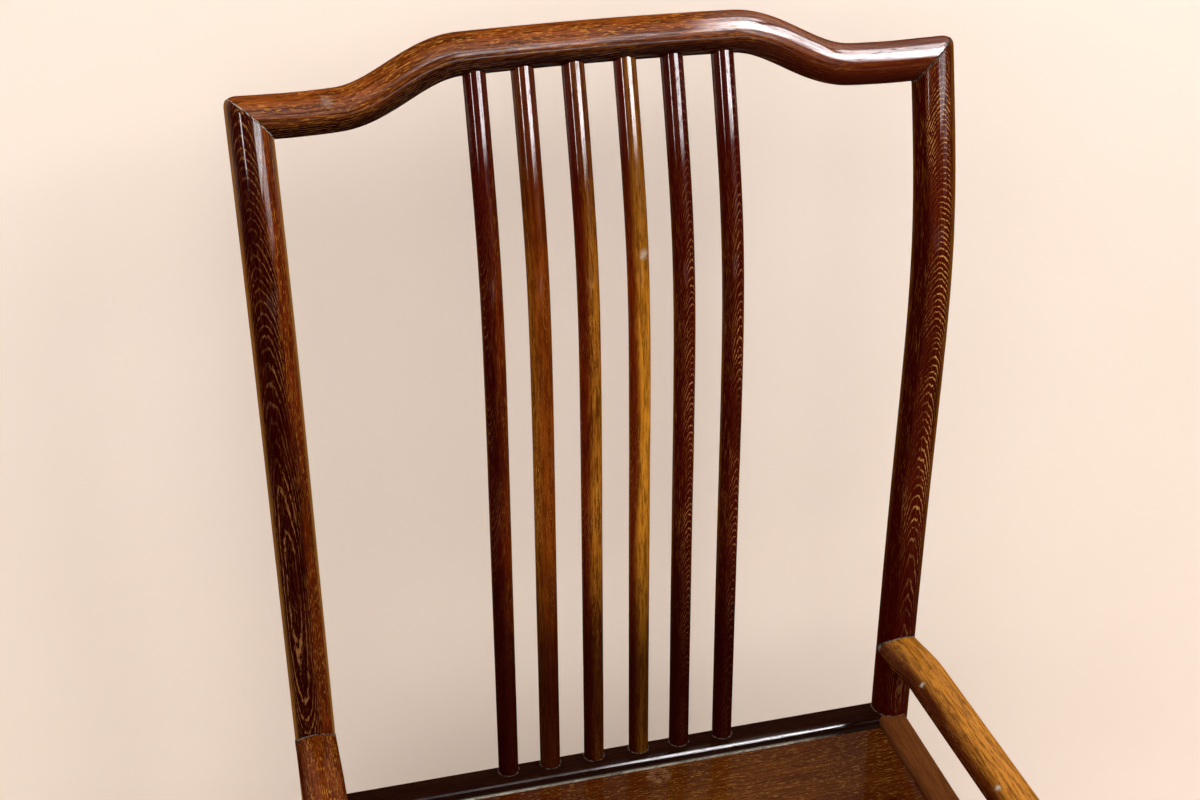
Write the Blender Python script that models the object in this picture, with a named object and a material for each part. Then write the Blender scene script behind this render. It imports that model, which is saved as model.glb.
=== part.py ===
"""Comb-back armchair in dark figured hardwood, built as it comes apart on a bench.

Metres, +Z up. The chair stands on the floor, faces -Y, and its box is centred on X and Y.
"""
import math

import bmesh
import bpy
import numpy as np
from mathutils import Vector

# Overall sizes
POST_SPACING = 0.530       # between the centres of the rear posts, and of the front legs
LEG_DEPTH = 0.440          # from a rear post's centre to a front leg's centre
SEAT_HEIGHT = 0.460        # floor to the top of the seat frame
BACK_RISE = 0.614          # top of the seat frame to the centre of the crest rail's ends

# Rear posts, each one stick from the floor to the crest rail
POST_DIAMETER = 0.034
POST_TOP_DIAMETER = 0.0332
BACK_STATIONS = (0.0, 0.4, 0.6, 0.8, 1.0)                    # share of the back's rise
BACK_SETBACKS = (0.0, 0.0, -0.0017, 0.0049, 0.0337)          # how far back the post is there

# Front legs, which run up past the seat to carry the arms
LEG_DIAMETER = 0.034
LEG_FLARE = 0.0065         # how far a leg's top stands outside its foot

# Crest rail
CREST_DIAMETER = 0.0325
CREST_BOW = 0.0265         # how far its middle stands behind its ends
HUMP_HEIGHT = 0.0308       # from the low stretch beside each post to the crown
HUMP_START = 0.106         # from the middle to where the crown begins to fall
HUMP_END = 0.201           # from the middle to where the low stretch begins
END_LIFT = 0.0034          # how far the ends stand above the low stretch

# Comb of spindles
SPINDLE_COUNT = 6
SPINDLE_DIAMETER = 0.0178
SPINDLE_PITCH_FOOT = 0.0401
SPINDLE_PITCH_TOP = 0.0390
SPINDLE_FOOT_SETBACK = 0.0019
SPINDLE_HAND_FITTING = 0.0012      # each spindle stands up to this far off the even pitch
SPINDLE_HAND_TURN = 2.2            # radians of that wander from one spindle to the next
SPINDLE_TENON_DIAMETER = 0.011
SPINDLE_TENON_LENGTH = 0.014
SPINDLE_HOUSING = 0.010            # how far the top is let into the crest rail

# Arms
ARM_DIAMETER = 0.0348
ARM_RISE = 0.080           # top of the seat frame to the centre of the level stretch
ARM_DIP = 0.009            # how far the rear end drops to its post
ARM_DIP_LENGTH = 0.070

# Seat frame and its floating panel
RAIL_WIDTH = 0.027
RAIL_HEIGHT = 0.038
RAIL_OUTSET = 0.0093       # outer face beyond the posts' centre line
RAIL_EDGE_RADIUS = 0.004
RAIL_LOWER_EDGE_RADIUS = 0.0015
PANEL_RECESS = 0.005       # panel top below the rail top
PANEL_THICKNESS = 0.012
PANEL_SHRINKAGE = 0.0065   # how far the raised field has drawn away from the rear rail
TONGUE_DROP = 0.0006       # tongue's top below the raised field
TONGUE_THICKNESS = 0.006
TONGUE_LENGTH = 0.006
GROOVE_DEPTH = 0.0075
BATTEN_SPACING = 0.240
BATTEN_WIDTH = 0.030
BATTEN_NECK = 0.024        # width of the dovetail where it leaves the panel
BATTEN_HEIGHT = 0.020
DOVETAIL_DEPTH = 0.004

# Aprons and stretchers
APRON_THICKNESS = 0.009
APRON_HEIGHT = 0.034
APRON_SETBACK = 0.002      # centre plane inside the posts' centre line
APRON_HOUSING = 0.006      # how far an end is let into a leg
STRETCHER_DIAMETER = 0.020
SIDE_STRETCHER_HEIGHT = 0.150
REAR_STRETCHER_HEIGHT = 0.200
FOOTREST_HEIGHT = 0.096
FOOTREST_WIDTH = 0.030
FOOTREST_THICKNESS = 0.018
FOOTREST_EDGE_RADIUS = 0.005

# Joints
CLEARANCE = 0.0003         # between two pieces that touch
CORNER_ROUND = 0.009       # softening of the outer corner of a mitre
CORNER_LEAD = 0.003
CORNER_TENON = (0.010, 0.012)
CORNER_TENON_RISE = 0.008  # tenon top above the centre of the corner
CORNER_TENON_ROOT = 0.020
RAIL_TENON_THICKNESS = 0.007
RAIL_TENON_HEIGHT = 0.022
RAIL_TENON_ROOT = 0.012
REAR_TENON_REACH = 0.0025  # rear and front rails' tenons stop this far short of a post's centre
SIDE_TENON_OFFSET = 0.0028 # side rails' tenons pass outside the others
SIDE_TENON_REACH = -0.006  # and run this far past the post's centre
ROUND_TENON_DIAMETER = 0.012
ROUND_TENON_REACH = 0.004  # short of the post's centre

# Fineness of the meshes
POST_SIDES = 20
CREST_SIDES = 24
SPINDLE_SIDES = 14
STRETCHER_SIDES = 16
POST_RINGS = 15
CREST_RINGS = 43
SPINDLE_RINGS = 17
ARM_RINGS = 12
ARM_RING_CROWDING = 0.7    # below 1, the rings crowd towards the dip at the rear end
CORNER_STEPS = 4
EDGE_STEPS = 3

HALF_SPACING = POST_SPACING / 2
POST_RADIUS = POST_DIAMETER / 2
POST_TOP_RADIUS = POST_TOP_DIAMETER / 2
LEG_RADIUS = LEG_DIAMETER / 2
CREST_RADIUS = CREST_DIAMETER / 2
ARM_RADIUS = ARM_DIAMETER / 2
BACK_TOP = SEAT_HEIGHT + BACK_RISE
ARM_HEIGHT = SEAT_HEIGHT + ARM_RISE
CORNER_TRIM = max(CREST_RADIUS, POST_RADIUS, ARM_RADIUS) + CORNER_ROUND

# The deepest points are the crest rail's back and the front legs' fronts
REAR_REACH = BACK_SETBACKS[-1] + CREST_BOW + CREST_RADIUS
FRONT_REACH = LEG_DEPTH + LEG_RADIUS
REAR_Y = (FRONT_REACH - REAR_REACH) / 2
FRONT_Y = REAR_Y - LEG_DEPTH

X_AXIS = Vector((1.0, 0.0, 0.0))
Y_AXIS = Vector((0.0, 1.0, 0.0))
Z_AXIS = Vector((0.0, 0.0, 1.0))
LEFT = -1
RIGHT = 1
SIDE_NAMES = {LEFT: "left", RIGHT: "right"}

for old_object in list(bpy.data.objects):
    bpy.data.objects.remove(old_object)

chair = bpy.data.objects.new("chair", None)
bpy.context.scene.collection.objects.link(chair)


# Materials
def wood(name, colour, roughness):
    material = bpy.data.materials.new(name)
    material.use_nodes = True
    shader = material.node_tree.nodes["Principled BSDF"]
    shader.inputs["Base Color"].default_value = (*colour, 1.0)
    shader.inputs["Roughness"].default_value = roughness
    shader.inputs["Metallic"].default_value = 0.0
    return material


# Curves
def smooth_curve(stations, values):
    """The natural cubic spline through a few points, straight beyond its ends, as a function."""
    at = np.array(stations)
    height = np.array(values)
    gap = np.diff(at)
    slope = np.diff(height) / gap
    system = np.eye(len(at))
    load = np.zeros(len(at))
    for i in range(1, len(at) - 1):
        system[i, i - 1:i + 2] = gap[i - 1], 2 * (gap[i - 1] + gap[i]), gap[i]
        load[i] = 6 * (slope[i] - slope[i - 1])
    bend = np.linalg.solve(system, load)

    def value(place):
        inside = min(max(place, at[0]), at[-1])
        i = min(int(np.searchsorted(at, inside, side="right")) - 1, len(gap) - 1)
        step = inside - at[i]
        start = slope[i] - gap[i] * (2 * bend[i] + bend[i + 1]) / 6
        twist = (bend[i + 1] - bend[i]) / gap[i]
        here = height[i] + step * (start + step * (bend[i] / 2 + step * twist / 6))
        steepness = start + step * (bend[i] + step * twist / 2)
        return float(here + steepness * (place - inside))

    return value


back_curve = smooth_curve(BACK_STATIONS, BACK_SETBACKS)


def ease(share):
    """Falls smoothly from 1 to 0 while the share runs from 0 to 1."""
    return (1 + math.cos(math.pi * min(max(share, 0.0), 1.0))) / 2


def post_centre(side, z):
    share = max(z - SEAT_HEIGHT, 0.0) / BACK_RISE
    return Vector((side * HALF_SPACING, REAR_Y + back_curve(share), z))


def leg_centre(side, z):
    flare = LEG_FLARE * (1 - ease((z - SEAT_HEIGHT) / ARM_RISE))
    return Vector((side * (HALF_SPACING + flare), FRONT_Y, z))


def crest_centre(x):
    share = x / HALF_SPACING
    hump = (HUMP_HEIGHT * ease((abs(x) - HUMP_START) / (HUMP_END - HUMP_START))
            - END_LIFT * (1 - max(abs(x) - HUMP_END, 0.0) ** 2 / (HALF_SPACING - HUMP_END) ** 2))
    bow = CREST_BOW * (1 - share ** 2)
    return Vector((x, REAR_Y + BACK_SETBACKS[-1] + bow, BACK_TOP + hump))


def arm_centre(side, share):
    """Runs from the corner over the front leg, at 0, to the rear post's centre line, at 1."""
    y = FRONT_Y + share * LEG_DEPTH
    dip = ARM_DIP * ease((REAR_Y - y) / ARM_DIP_LENGTH)
    x = side * (HALF_SPACING + LEG_FLARE * (1 - share))
    return Vector((x, y, ARM_HEIGHT - dip))


def spindle_x(index, pitch):
    hand = SPINDLE_HAND_FITTING * math.cos(index * SPINDLE_HAND_TURN)
    return (index - (SPINDLE_COUNT - 1) / 2) * pitch + hand


def spindle_centre(index, z):
    """Leaves the seat frame just behind the posts' line and meets the bowed crest rail."""
    top = crest_centre(spindle_x(index, SPINDLE_PITCH_TOP))
    share = (z - SEAT_HEIGHT) / (top.z - SEAT_HEIGHT)
    extra = top.y - post_centre(RIGHT, top.z).y - SPINDLE_FOOT_SETBACK
    y = post_centre(RIGHT, z).y + SPINDLE_FOOT_SETBACK + extra * max(share, 0.0) ** 2
    foot_x = spindle_x(index, SPINDLE_PITCH_FOOT)
    return Vector((foot_x + (top.x - foot_x) * share, y, z))


# Solids
def spokes(along, side, count):
    """Unit vectors round an axis, square to it, starting at the side direction."""
    first = (side - along * side.dot(along)).normalized()
    second = along.cross(first)
    turns = [2 * math.pi * i / count for i in range(count)]
    return [first * math.cos(turn) + second * math.sin(turn) for turn in turns]


def tube_rings(centres, radii, side, count):
    """Circles along a curved centre line, each square to it."""
    rings = []
    for i, centre in enumerate(centres):
        before = centres[max(i - 1, 0)]
        after = centres[min(i + 1, len(centres) - 1)]
        along = (after - before).normalized()
        rings.append([centre + radii[i] * spoke for spoke in spokes(along, side, count)])
    return rings


def mitre_rings(knee, along, other, radius, side, count):
    """The last rings of a stick that meets another in a mitre with a softened outer corner.

    The stick arrives along one direction, and the other stick leaves the knee in the other.
    """
    normal = (-along - other).normalized()
    rings = []
    for step in range(CORNER_STEPS + 1):
        ring = []
        for spoke in spokes(along, side, count):
            offset = knee + radius * spoke
            reach = -normal.dot(radius * spoke) / normal.dot(along)
            soft = CORNER_ROUND * max(reach / radius, 0.0)
            travel = (CORNER_LEAD + soft) * step / CORNER_STEPS
            start = offset + along * (reach - soft - CORNER_LEAD)
            if travel <= CORNER_LEAD:
                ring.append(start + along * travel)
            else:
                t = 0.5 * (travel - CORNER_LEAD) / soft
                first = offset + along * (reach - soft)
                middle = offset + along * reach
                last = middle + other * soft
                ring.append(first * (1 - t) ** 2 + middle * 2 * t * (1 - t) + last * t ** 2)
        rings.append(ring)
    rings[-1] = [point + normal * (CLEARANCE / 2) for point in rings[-1]]
    return rings


def loft(name, rings, material=None, origin=None):
    """A closed body through rings of equal count, with flat ends."""
    place = origin or Vector((0.0, 0.0, 0.0))
    shape = bmesh.new()
    rows = [[shape.verts.new(point - place) for point in ring] for ring in rings]
    count = len(rows[0])
    for lower, upper in zip(rows, rows[1:]):
        for i in range(count):
            j = (i + 1) % count
            shape.faces.new((lower[i], lower[j], upper[j], upper[i]))
    shape.faces.new(list(reversed(rows[0])))
    shape.faces.new(rows[-1])
    bmesh.ops.recalc_face_normals(shape, faces=shape.faces)
    mesh = bpy.data.meshes.new(name)
    shape.to_mesh(mesh)
    shape.free()
    body = bpy.data.objects.new(name, mesh)
    body.location = place
    if material:
        mesh.materials.append(material)
        body.parent = chair
    bpy.context.scene.collection.objects.link(body)
    return body


def rod(start, end, radius, count=STRETCHER_SIDES):
    """A straight round bar, as a tool."""
    along = (end - start).normalized()
    side = Y_AXIS if abs(along.x) > 0.5 else X_AXIS
    return loft("tool", tube_rings([start, end], [radius, radius], side, count))


def block(start, end, width, height, across):
    """A straight rectangular bar, as a tool; its width is measured along the across direction."""
    along = (end - start).normalized()
    first = (across - along * across.dot(along)).normalized() * (width / 2)
    second = along.cross(first).normalized() * (height / 2)
    corners = (first + second, second - first, -first - second, first - second)
    return loft("tool", [[end_point + corner for corner in corners] for end_point in (start, end)])


def combine(piece, tool, operation):
    """Adds the tool to the piece or cuts it away, and drops the tool."""
    boolean = piece.modifiers.new("joint", "BOOLEAN")
    boolean.operation = operation
    boolean.solver = "EXACT"
    boolean.object = tool
    graph = bpy.context.evaluated_depsgraph_get()
    shaped = bpy.data.meshes.new_from_object(piece.evaluated_get(graph))
    piece.modifiers.clear()
    piece.data = shaped
    bpy.data.objects.remove(tool)


def seat_peg(rider, host, make_peg):
    """Grows a peg on the rider and cuts a mortise for it, wider by the clearance, in the host."""
    combine(rider, make_peg(0.0), "UNION")
    combine(host, make_peg(CLEARANCE), "DIFFERENCE")


# Rear posts
def post_rings(side, extra=0.0):
    """Rings from the floor to just under the crest corner."""
    top = BACK_TOP - CORNER_TRIM
    heights = [0.0, SEAT_HEIGHT / 2, SEAT_HEIGHT - RAIL_HEIGHT]
    heights += [SEAT_HEIGHT + (top - SEAT_HEIGHT) * i / POST_RINGS for i in range(POST_RINGS + 1)]
    radii = []
    for z in heights:
        share = max(z - SEAT_HEIGHT, 0.0) / BACK_RISE
        radii.append(POST_RADIUS + (POST_TOP_RADIUS - POST_RADIUS) * share + extra)
    return tube_rings([post_centre(side, z) for z in heights], radii, X_AXIS, POST_SIDES)


def crest_corner(side):
    """The knee over a post, the post's direction into it and the crest rail's out of it."""
    knee = crest_centre(side * HALF_SPACING)
    post_along = (knee - post_centre(side, BACK_TOP - CORNER_TRIM)).normalized()
    crest_out = (crest_centre(side * (HALF_SPACING - CORNER_TRIM)) - knee).normalized()
    return knee, post_along, crest_out


def make_rear_post(side, material):
    knee, along, out = crest_corner(side)
    rings = post_rings(side)
    rings += mitre_rings(knee, along, out, POST_TOP_RADIUS, X_AXIS, POST_SIDES)
    return loft(SIDE_NAMES[side] + "_rear_post", rings, material, post_centre(side, 0.0))


# Front legs
def arm_corner(side):
    """The knee over a front leg, the leg's direction into it and the arm's out of it."""
    knee = arm_centre(side, 0.0)
    arm_out = (arm_centre(side, 0.5) - knee).normalized()
    return knee, Z_AXIS.copy(), arm_out


def leg_heights():
    top = ARM_HEIGHT - CORNER_TRIM
    rise = top - SEAT_HEIGHT
    return [0.0, SEAT_HEIGHT / 2, SEAT_HEIGHT, SEAT_HEIGHT + rise / 3, SEAT_HEIGHT + 2 * rise / 3, top]


def leg_rings(side, extra=0.0):
    centres = [leg_centre(side, z) for z in leg_heights()]
    return tube_rings(centres, [LEG_RADIUS + extra] * len(centres), X_AXIS, POST_SIDES)


def make_front_leg(side, material):
    knee, along, out = arm_corner(side)
    rings = leg_rings(side)
    rings += mitre_rings(knee, along, out, LEG_RADIUS, X_AXIS, POST_SIDES)
    return loft(SIDE_NAMES[side] + "_front_leg", rings, material, leg_centre(side, 0.0))


# Crest rail
def make_crest_rail(material):
    reach = HALF_SPACING - CORNER_TRIM
    stations = [reach * (2 * i / (CREST_RINGS - 1) - 1) for i in range(CREST_RINGS)]
    centres = [crest_centre(x) for x in stations]
    body = tube_rings(centres, [CREST_RADIUS] * CREST_RINGS, Y_AXIS, CREST_SIDES)
    rings = list(body)
    for side in (RIGHT, LEFT):
        knee, post_along, crest_out = crest_corner(side)
        corner = mitre_rings(knee, -crest_out, -post_along, CREST_RADIUS, Y_AXIS, CREST_SIDES)
        if side == RIGHT:
            rings = rings + corner
        else:
            turned = [[ring[0]] + ring[:0:-1] for ring in corner]
            rings = turned[::-1] + rings
    return loft("crest_rail", rings, material, crest_centre(0.0))


# Spindles
def spindle_top(index):
    """The centre of the spindle's end inside the crest rail, and its direction there."""
    centre = crest_centre(spindle_x(index, SPINDLE_PITCH_TOP))
    end_z = centre.z - CREST_RADIUS + SPINDLE_HOUSING
    end = spindle_centre(index, end_z)
    below = spindle_centre(index, end_z - SPINDLE_HOUSING)
    return end, (end - below).normalized()


def make_spindle(index, material):
    radius = SPINDLE_DIAMETER / 2
    end, _ = spindle_top(index)
    shoulder_z = SEAT_HEIGHT + CLEARANCE
    heights = [shoulder_z + (end.z - shoulder_z) * i / (SPINDLE_RINGS - 1) for i in range(SPINDLE_RINGS)]
    shaft = tube_rings([spindle_centre(index, z) for z in heights], [radius] * SPINDLE_RINGS,
                       X_AXIS, SPINDLE_SIDES)
    foot = spindle_centre(index, shoulder_z)
    shaft[0] = [foot + radius * spoke for spoke in spokes(Z_AXIS, X_AXIS, SPINDLE_SIDES)]
    tip = foot - Z_AXIS * SPINDLE_TENON_LENGTH
    tenon = [[centre + SPINDLE_TENON_DIAMETER / 2 * spoke
              for spoke in spokes(Z_AXIS, X_AXIS, SPINDLE_SIDES)] for centre in (tip, foot)]
    return loft("spindle_%d" % (index + 1), tenon + shaft, material, foot)


def house_spindle(index, crest_rail, rear_rail):
    end, along = spindle_top(index)
    start = end - along * (CREST_DIAMETER + SPINDLE_HOUSING)
    socket = rod(start, end + along * CLEARANCE, SPINDLE_DIAMETER / 2 + CLEARANCE)
    combine(crest_rail, socket, "DIFFERENCE")
    foot = spindle_centre(index, SEAT_HEIGHT)
    bottom = foot - Z_AXIS * (SPINDLE_TENON_LENGTH + CLEARANCE)
    above = foot + Z_AXIS * SPINDLE_TENON_LENGTH
    combine(rear_rail, rod(bottom, above, SPINDLE_TENON_DIAMETER / 2 + CLEARANCE), "DIFFERENCE")


# Arms
def make_arm(side, material):
    knee, leg_along, out = arm_corner(side)
    corner = mitre_rings(knee, -out, -leg_along, ARM_RADIUS, X_AXIS, POST_SIDES)
    first = CORNER_TRIM / LEG_DEPTH
    shares = [first + (1 - first) * (i / (ARM_RINGS - 1)) ** ARM_RING_CROWDING for i in range(ARM_RINGS)]
    centres = [arm_centre(side, share) for share in reversed(shares)]
    body = tube_rings(centres, [ARM_RADIUS] * ARM_RINGS, X_AXIS, POST_SIDES)
    arm = loft(SIDE_NAMES[side] + "_arm", body + corner, material, knee)
    combine(arm, loft("tool", post_rings(side, CLEARANCE)), "DIFFERENCE")
    return arm


# Seat frame
def edge_arc(centre_out, centre_z, radius, start):
    """A quarter round of a section, in (outward, height) pairs, from a start angle in quarters."""
    turns = [math.pi / 2 * (start + i / EDGE_STEPS) for i in range(EDGE_STEPS + 1)]
    return [(centre_out + radius * math.cos(t), centre_z + radius * math.sin(t)) for t in turns]


def rail_section():
    """Outline of a seat rail, in (outward, height) pairs, with the groove for the panel's tongue."""
    outer = RAIL_OUTSET
    inner = RAIL_OUTSET - RAIL_WIDTH
    top = SEAT_HEIGHT
    bottom = SEAT_HEIGHT - RAIL_HEIGHT
    groove_top = top - PANEL_RECESS - TONGUE_DROP + CLEARANCE
    groove_bottom = top - PANEL_RECESS - TONGUE_DROP - TONGUE_THICKNESS - CLEARANCE
    round_top = RAIL_EDGE_RADIUS
    round_low = RAIL_LOWER_EDGE_RADIUS
    points = edge_arc(outer - round_top, top - round_top, round_top, 0)
    points += edge_arc(inner + round_top, top - round_top, round_top, 1)
    points += [(inner, groove_top), (inner + GROOVE_DEPTH, groove_top),
               (inner + GROOVE_DEPTH, groove_bottom), (inner, groove_bottom)]
    points += edge_arc(inner + round_low, bottom + round_low, round_low, 2)
    points += edge_arc(outer - round_low, bottom + round_low, round_low, 3)
    return points


def make_rail(name, middle, outward, half_length, material):
    """A mitred rail; the middle is on the line that joins the centres of its two posts."""
    along = Z_AXIS.cross(outward)
    rings = []
    for end in (-1, 1):
        rings.append([middle + outward * out + Z_AXIS * z
                      + along * end * (half_length + out - CLEARANCE) for out, z in rail_section()])
    return loft(name, rings, material, middle + Z_AXIS * SEAT_HEIGHT)


def rail_peg(post_axis, inward, across, offset, reach, extra):
    """The tenon of a seat rail: inward points from the post into the rail."""
    centre_z = SEAT_HEIGHT - RAIL_HEIGHT / 2 - GROOVE_DEPTH / 2
    centre = Vector((post_axis.x, post_axis.y, centre_z)) + across * offset
    root = centre + inward * (POST_RADIUS + RAIL_TENON_ROOT)
    tip = centre + inward * (reach - extra)
    return block(root, tip, RAIL_TENON_THICKNESS + 2 * extra, RAIL_TENON_HEIGHT + 2 * extra, across)


# Floating panel and battens
def dovetail(x, start_y, end_y, extra):
    """The bar that keeps the panel flat, as rings along Y."""
    top = SEAT_HEIGHT - PANEL_RECESS - PANEL_THICKNESS + DOVETAIL_DEPTH + extra
    neck = SEAT_HEIGHT - PANEL_RECESS - PANEL_THICKNESS
    low = top - BATTEN_HEIGHT - extra
    half_top = BATTEN_WIDTH / 2 + extra
    half_neck = BATTEN_NECK / 2 + extra
    section = ((-half_top, top), (half_top, top), (half_neck, neck), (half_neck, low),
               (-half_neck, low), (-half_neck, neck))
    return [[Vector((x + dx, y, z)) for dx, z in section] for y in (start_y, end_y)]


def make_panel(material):
    """A board with a tongue on all four sides, just below its raised field."""
    half_x = HALF_SPACING + RAIL_OUTSET - RAIL_WIDTH
    back = REAR_Y + RAIL_OUTSET - RAIL_WIDTH
    front = FRONT_Y - RAIL_OUTSET + RAIL_WIDTH
    top = SEAT_HEIGHT - PANEL_RECESS
    tongue_top = top - TONGUE_DROP
    tongue_low = tongue_top - TONGUE_THICKNESS
    levels = ((top - PANEL_THICKNESS, -CLEARANCE, -CLEARANCE), (tongue_low, -CLEARANCE, -CLEARANCE),
              (tongue_low, TONGUE_LENGTH, TONGUE_LENGTH), (tongue_top, TONGUE_LENGTH, TONGUE_LENGTH),
              (tongue_top, -CLEARANCE, -PANEL_SHRINKAGE), (top, -CLEARANCE, -PANEL_SHRINKAGE))
    rings = [[Vector((-half_x - grow, front - grow, z)), Vector((half_x + grow, front - grow, z)),
              Vector((half_x + grow, back + rear_grow, z)), Vector((-half_x - grow, back + rear_grow, z))]
             for z, grow, rear_grow in levels]
    panel = loft("seat_panel", rings, material, Vector((0.0, (front + back) / 2, top)))
    return panel, front, back


# Aprons and stretchers
def make_apron(name, middle, outward, half_span, material):
    along = Z_AXIS.cross(outward)
    centre_z = SEAT_HEIGHT - RAIL_HEIGHT - CLEARANCE - APRON_HEIGHT / 2
    centre = middle - outward * APRON_SETBACK + Z_AXIS * centre_z
    half = half_span - POST_RADIUS + APRON_HOUSING

    def board(extra):
        reach = along * (half + extra)
        return block(centre - reach, centre + reach, APRON_THICKNESS + 2 * extra,
                     APRON_HEIGHT + 2 * extra, outward)

    apron = board(0.0)
    apron.name = name
    apron.data.name = name
    apron.data.materials.append(material)
    apron.parent = chair
    return apron, board


def make_stretcher(name, start, end, material, posts):
    """A round stretcher between two leg centres, coped to both and pegged into them."""
    along = (end - start).normalized()
    radius = STRETCHER_DIAMETER / 2
    side = Y_AXIS if abs(along.x) > 0.5 else X_AXIS
    rings = tube_rings([start, end], [radius, radius], side, STRETCHER_SIDES)
    bar = loft(name, rings, material, (start + end) / 2)
    for host, rings_of_host, centre, inward in ((*posts[0], start, along), (*posts[1], end, -along)):
        combine(bar, loft("tool", rings_of_host), "DIFFERENCE")

        def peg(extra):
            root = centre + inward * (POST_RADIUS + ROUND_TENON_DIAMETER)
            tip = centre + inward * (ROUND_TENON_REACH - extra)
            return rod(root, tip, ROUND_TENON_DIAMETER / 2 + extra)

        seat_peg(bar, host, peg)
    return bar


def footrest_section():
    half_width = FOOTREST_WIDTH / 2
    half_thick = FOOTREST_THICKNESS / 2
    r = FOOTREST_EDGE_RADIUS
    points = edge_arc(half_width - r, half_thick - r, r, 0)
    points += edge_arc(-half_width + r, half_thick - r, r, 1)
    points += edge_arc(-half_width + r, -half_thick + r, r, 2)
    points += edge_arc(half_width - r, -half_thick + r, r, 3)
    return points


def make_footrest(material, legs):
    centre = Vector((0.0, FRONT_Y, FOOTREST_HEIGHT))
    rings = [[centre + Vector((x, out, z)) for out, z in footrest_section()]
             for x in (-HALF_SPACING, HALF_SPACING)]
    bar = loft("footrest", rings, material, centre)
    for side in (LEFT, RIGHT):
        combine(bar, loft("tool", leg_rings(side, CLEARANCE)), "DIFFERENCE")
        leg_axis = leg_centre(side, FOOTREST_HEIGHT)

        def peg(extra):
            root = leg_axis - X_AXIS * side * (LEG_RADIUS + ROUND_TENON_DIAMETER)
            tip = leg_axis - X_AXIS * side * (ROUND_TENON_REACH - extra)
            return block(root, tip, ROUND_TENON_DIAMETER + 2 * extra,
                         ROUND_TENON_DIAMETER + 2 * extra, Y_AXIS)

        seat_peg(bar, legs[side], peg)
    return bar


# The chair, piece by piece
dark_wood = wood("dark_figured_wood", (0.070, 0.028, 0.016), 0.28)
crest_wood = wood("crest_wood", (0.085, 0.032, 0.018), 0.25)
golden_wood = wood("golden_wood", (0.250, 0.105, 0.035), 0.30)
panel_wood = wood("panel_wood", (0.120, 0.050, 0.022), 0.22)
spindle_colours = ((0.045, 0.018, 0.013), (0.160, 0.060, 0.024), (0.075, 0.028, 0.016),
                   (0.210, 0.090, 0.038), (0.040, 0.017, 0.012), (0.065, 0.025, 0.015))

posts = {side: make_rear_post(side, dark_wood) for side in (LEFT, RIGHT)}
legs = {side: make_front_leg(side, dark_wood) for side in (LEFT, RIGHT)}
crest_rail = make_crest_rail(crest_wood)

half_depth = LEG_DEPTH / 2
middle_y = (REAR_Y + FRONT_Y) / 2
rear_rail = make_rail("rear_seat_rail", Vector((0, REAR_Y, 0)), Y_AXIS, HALF_SPACING, dark_wood)
front_rail = make_rail("front_seat_rail", Vector((0, FRONT_Y, 0)), -Y_AXIS, HALF_SPACING, dark_wood)
side_rails = {side: make_rail(SIDE_NAMES[side] + "_seat_rail", Vector((side * HALF_SPACING, middle_y, 0)),
                              X_AXIS * side, half_depth, dark_wood) for side in (LEFT, RIGHT)}

for side in (LEFT, RIGHT):
    knee, post_along, crest_out = crest_corner(side)

    def crest_tenon(extra, knee=knee, along=post_along, out=crest_out):
        start = knee - along * CORNER_TENON_ROOT
        end = knee + along * (CORNER_TENON_RISE + extra)
        return block(start, end, CORNER_TENON[0] + 2 * extra, CORNER_TENON[1] + 2 * extra, out)

    seat_peg(posts[side], crest_rail, crest_tenon)

    arm = make_arm(side, golden_wood)
    knee, leg_along, arm_out = arm_corner(side)

    def arm_tenon(extra, knee=knee, along=leg_along, out=arm_out):
        start = knee - along * CORNER_TENON_ROOT
        end = knee + along * (CORNER_TENON_RISE + extra)
        return block(start, end, CORNER_TENON[0] + 2 * extra, CORNER_TENON[1] + 2 * extra, out)

    seat_peg(legs[side], arm, arm_tenon)
    joint = arm_centre(side, 1.0)

    def arm_rear_peg(extra, joint=joint):
        root = joint - Y_AXIS * (POST_RADIUS + ROUND_TENON_DIAMETER)
        tip = joint - Y_AXIS * (ROUND_TENON_REACH - extra)
        return rod(root, tip, ROUND_TENON_DIAMETER / 2 + extra)

    seat_peg(arm, posts[side], arm_rear_peg)

# Seat rails are coped to the posts and legs, and pegged into them
for side in (LEFT, RIGHT):
    uprights = ((posts[side], post_rings(side, CLEARANCE), rear_rail, post_centre(side, 0), -Y_AXIS),
                (legs[side], leg_rings(side, CLEARANCE), front_rail, leg_centre(side, 0), Y_AXIS))
    for host, host_rings, cross_rail, axis, into_side_rail in uprights:
        combine(cross_rail, loft("tool", host_rings), "DIFFERENCE")
        combine(side_rails[side], loft("tool", host_rings), "DIFFERENCE")

        def cross_peg(extra, axis=axis):
            return rail_peg(axis, -X_AXIS * side, Y_AXIS, 0.0, REAR_TENON_REACH, extra)

        def side_peg(extra, axis=axis, inward=into_side_rail):
            return rail_peg(axis, inward, X_AXIS * side, SIDE_TENON_OFFSET, SIDE_TENON_REACH, extra)

        seat_peg(cross_rail, host, cross_peg)
        seat_peg(side_rails[side], host, side_peg)

for index in range(SPINDLE_COUNT):
    colour = spindle_colours[index % len(spindle_colours)]
    make_spindle(index, wood("spindle_%d_wood" % (index + 1), colour, 0.28))
    house_spindle(index, crest_rail, rear_rail)

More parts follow.
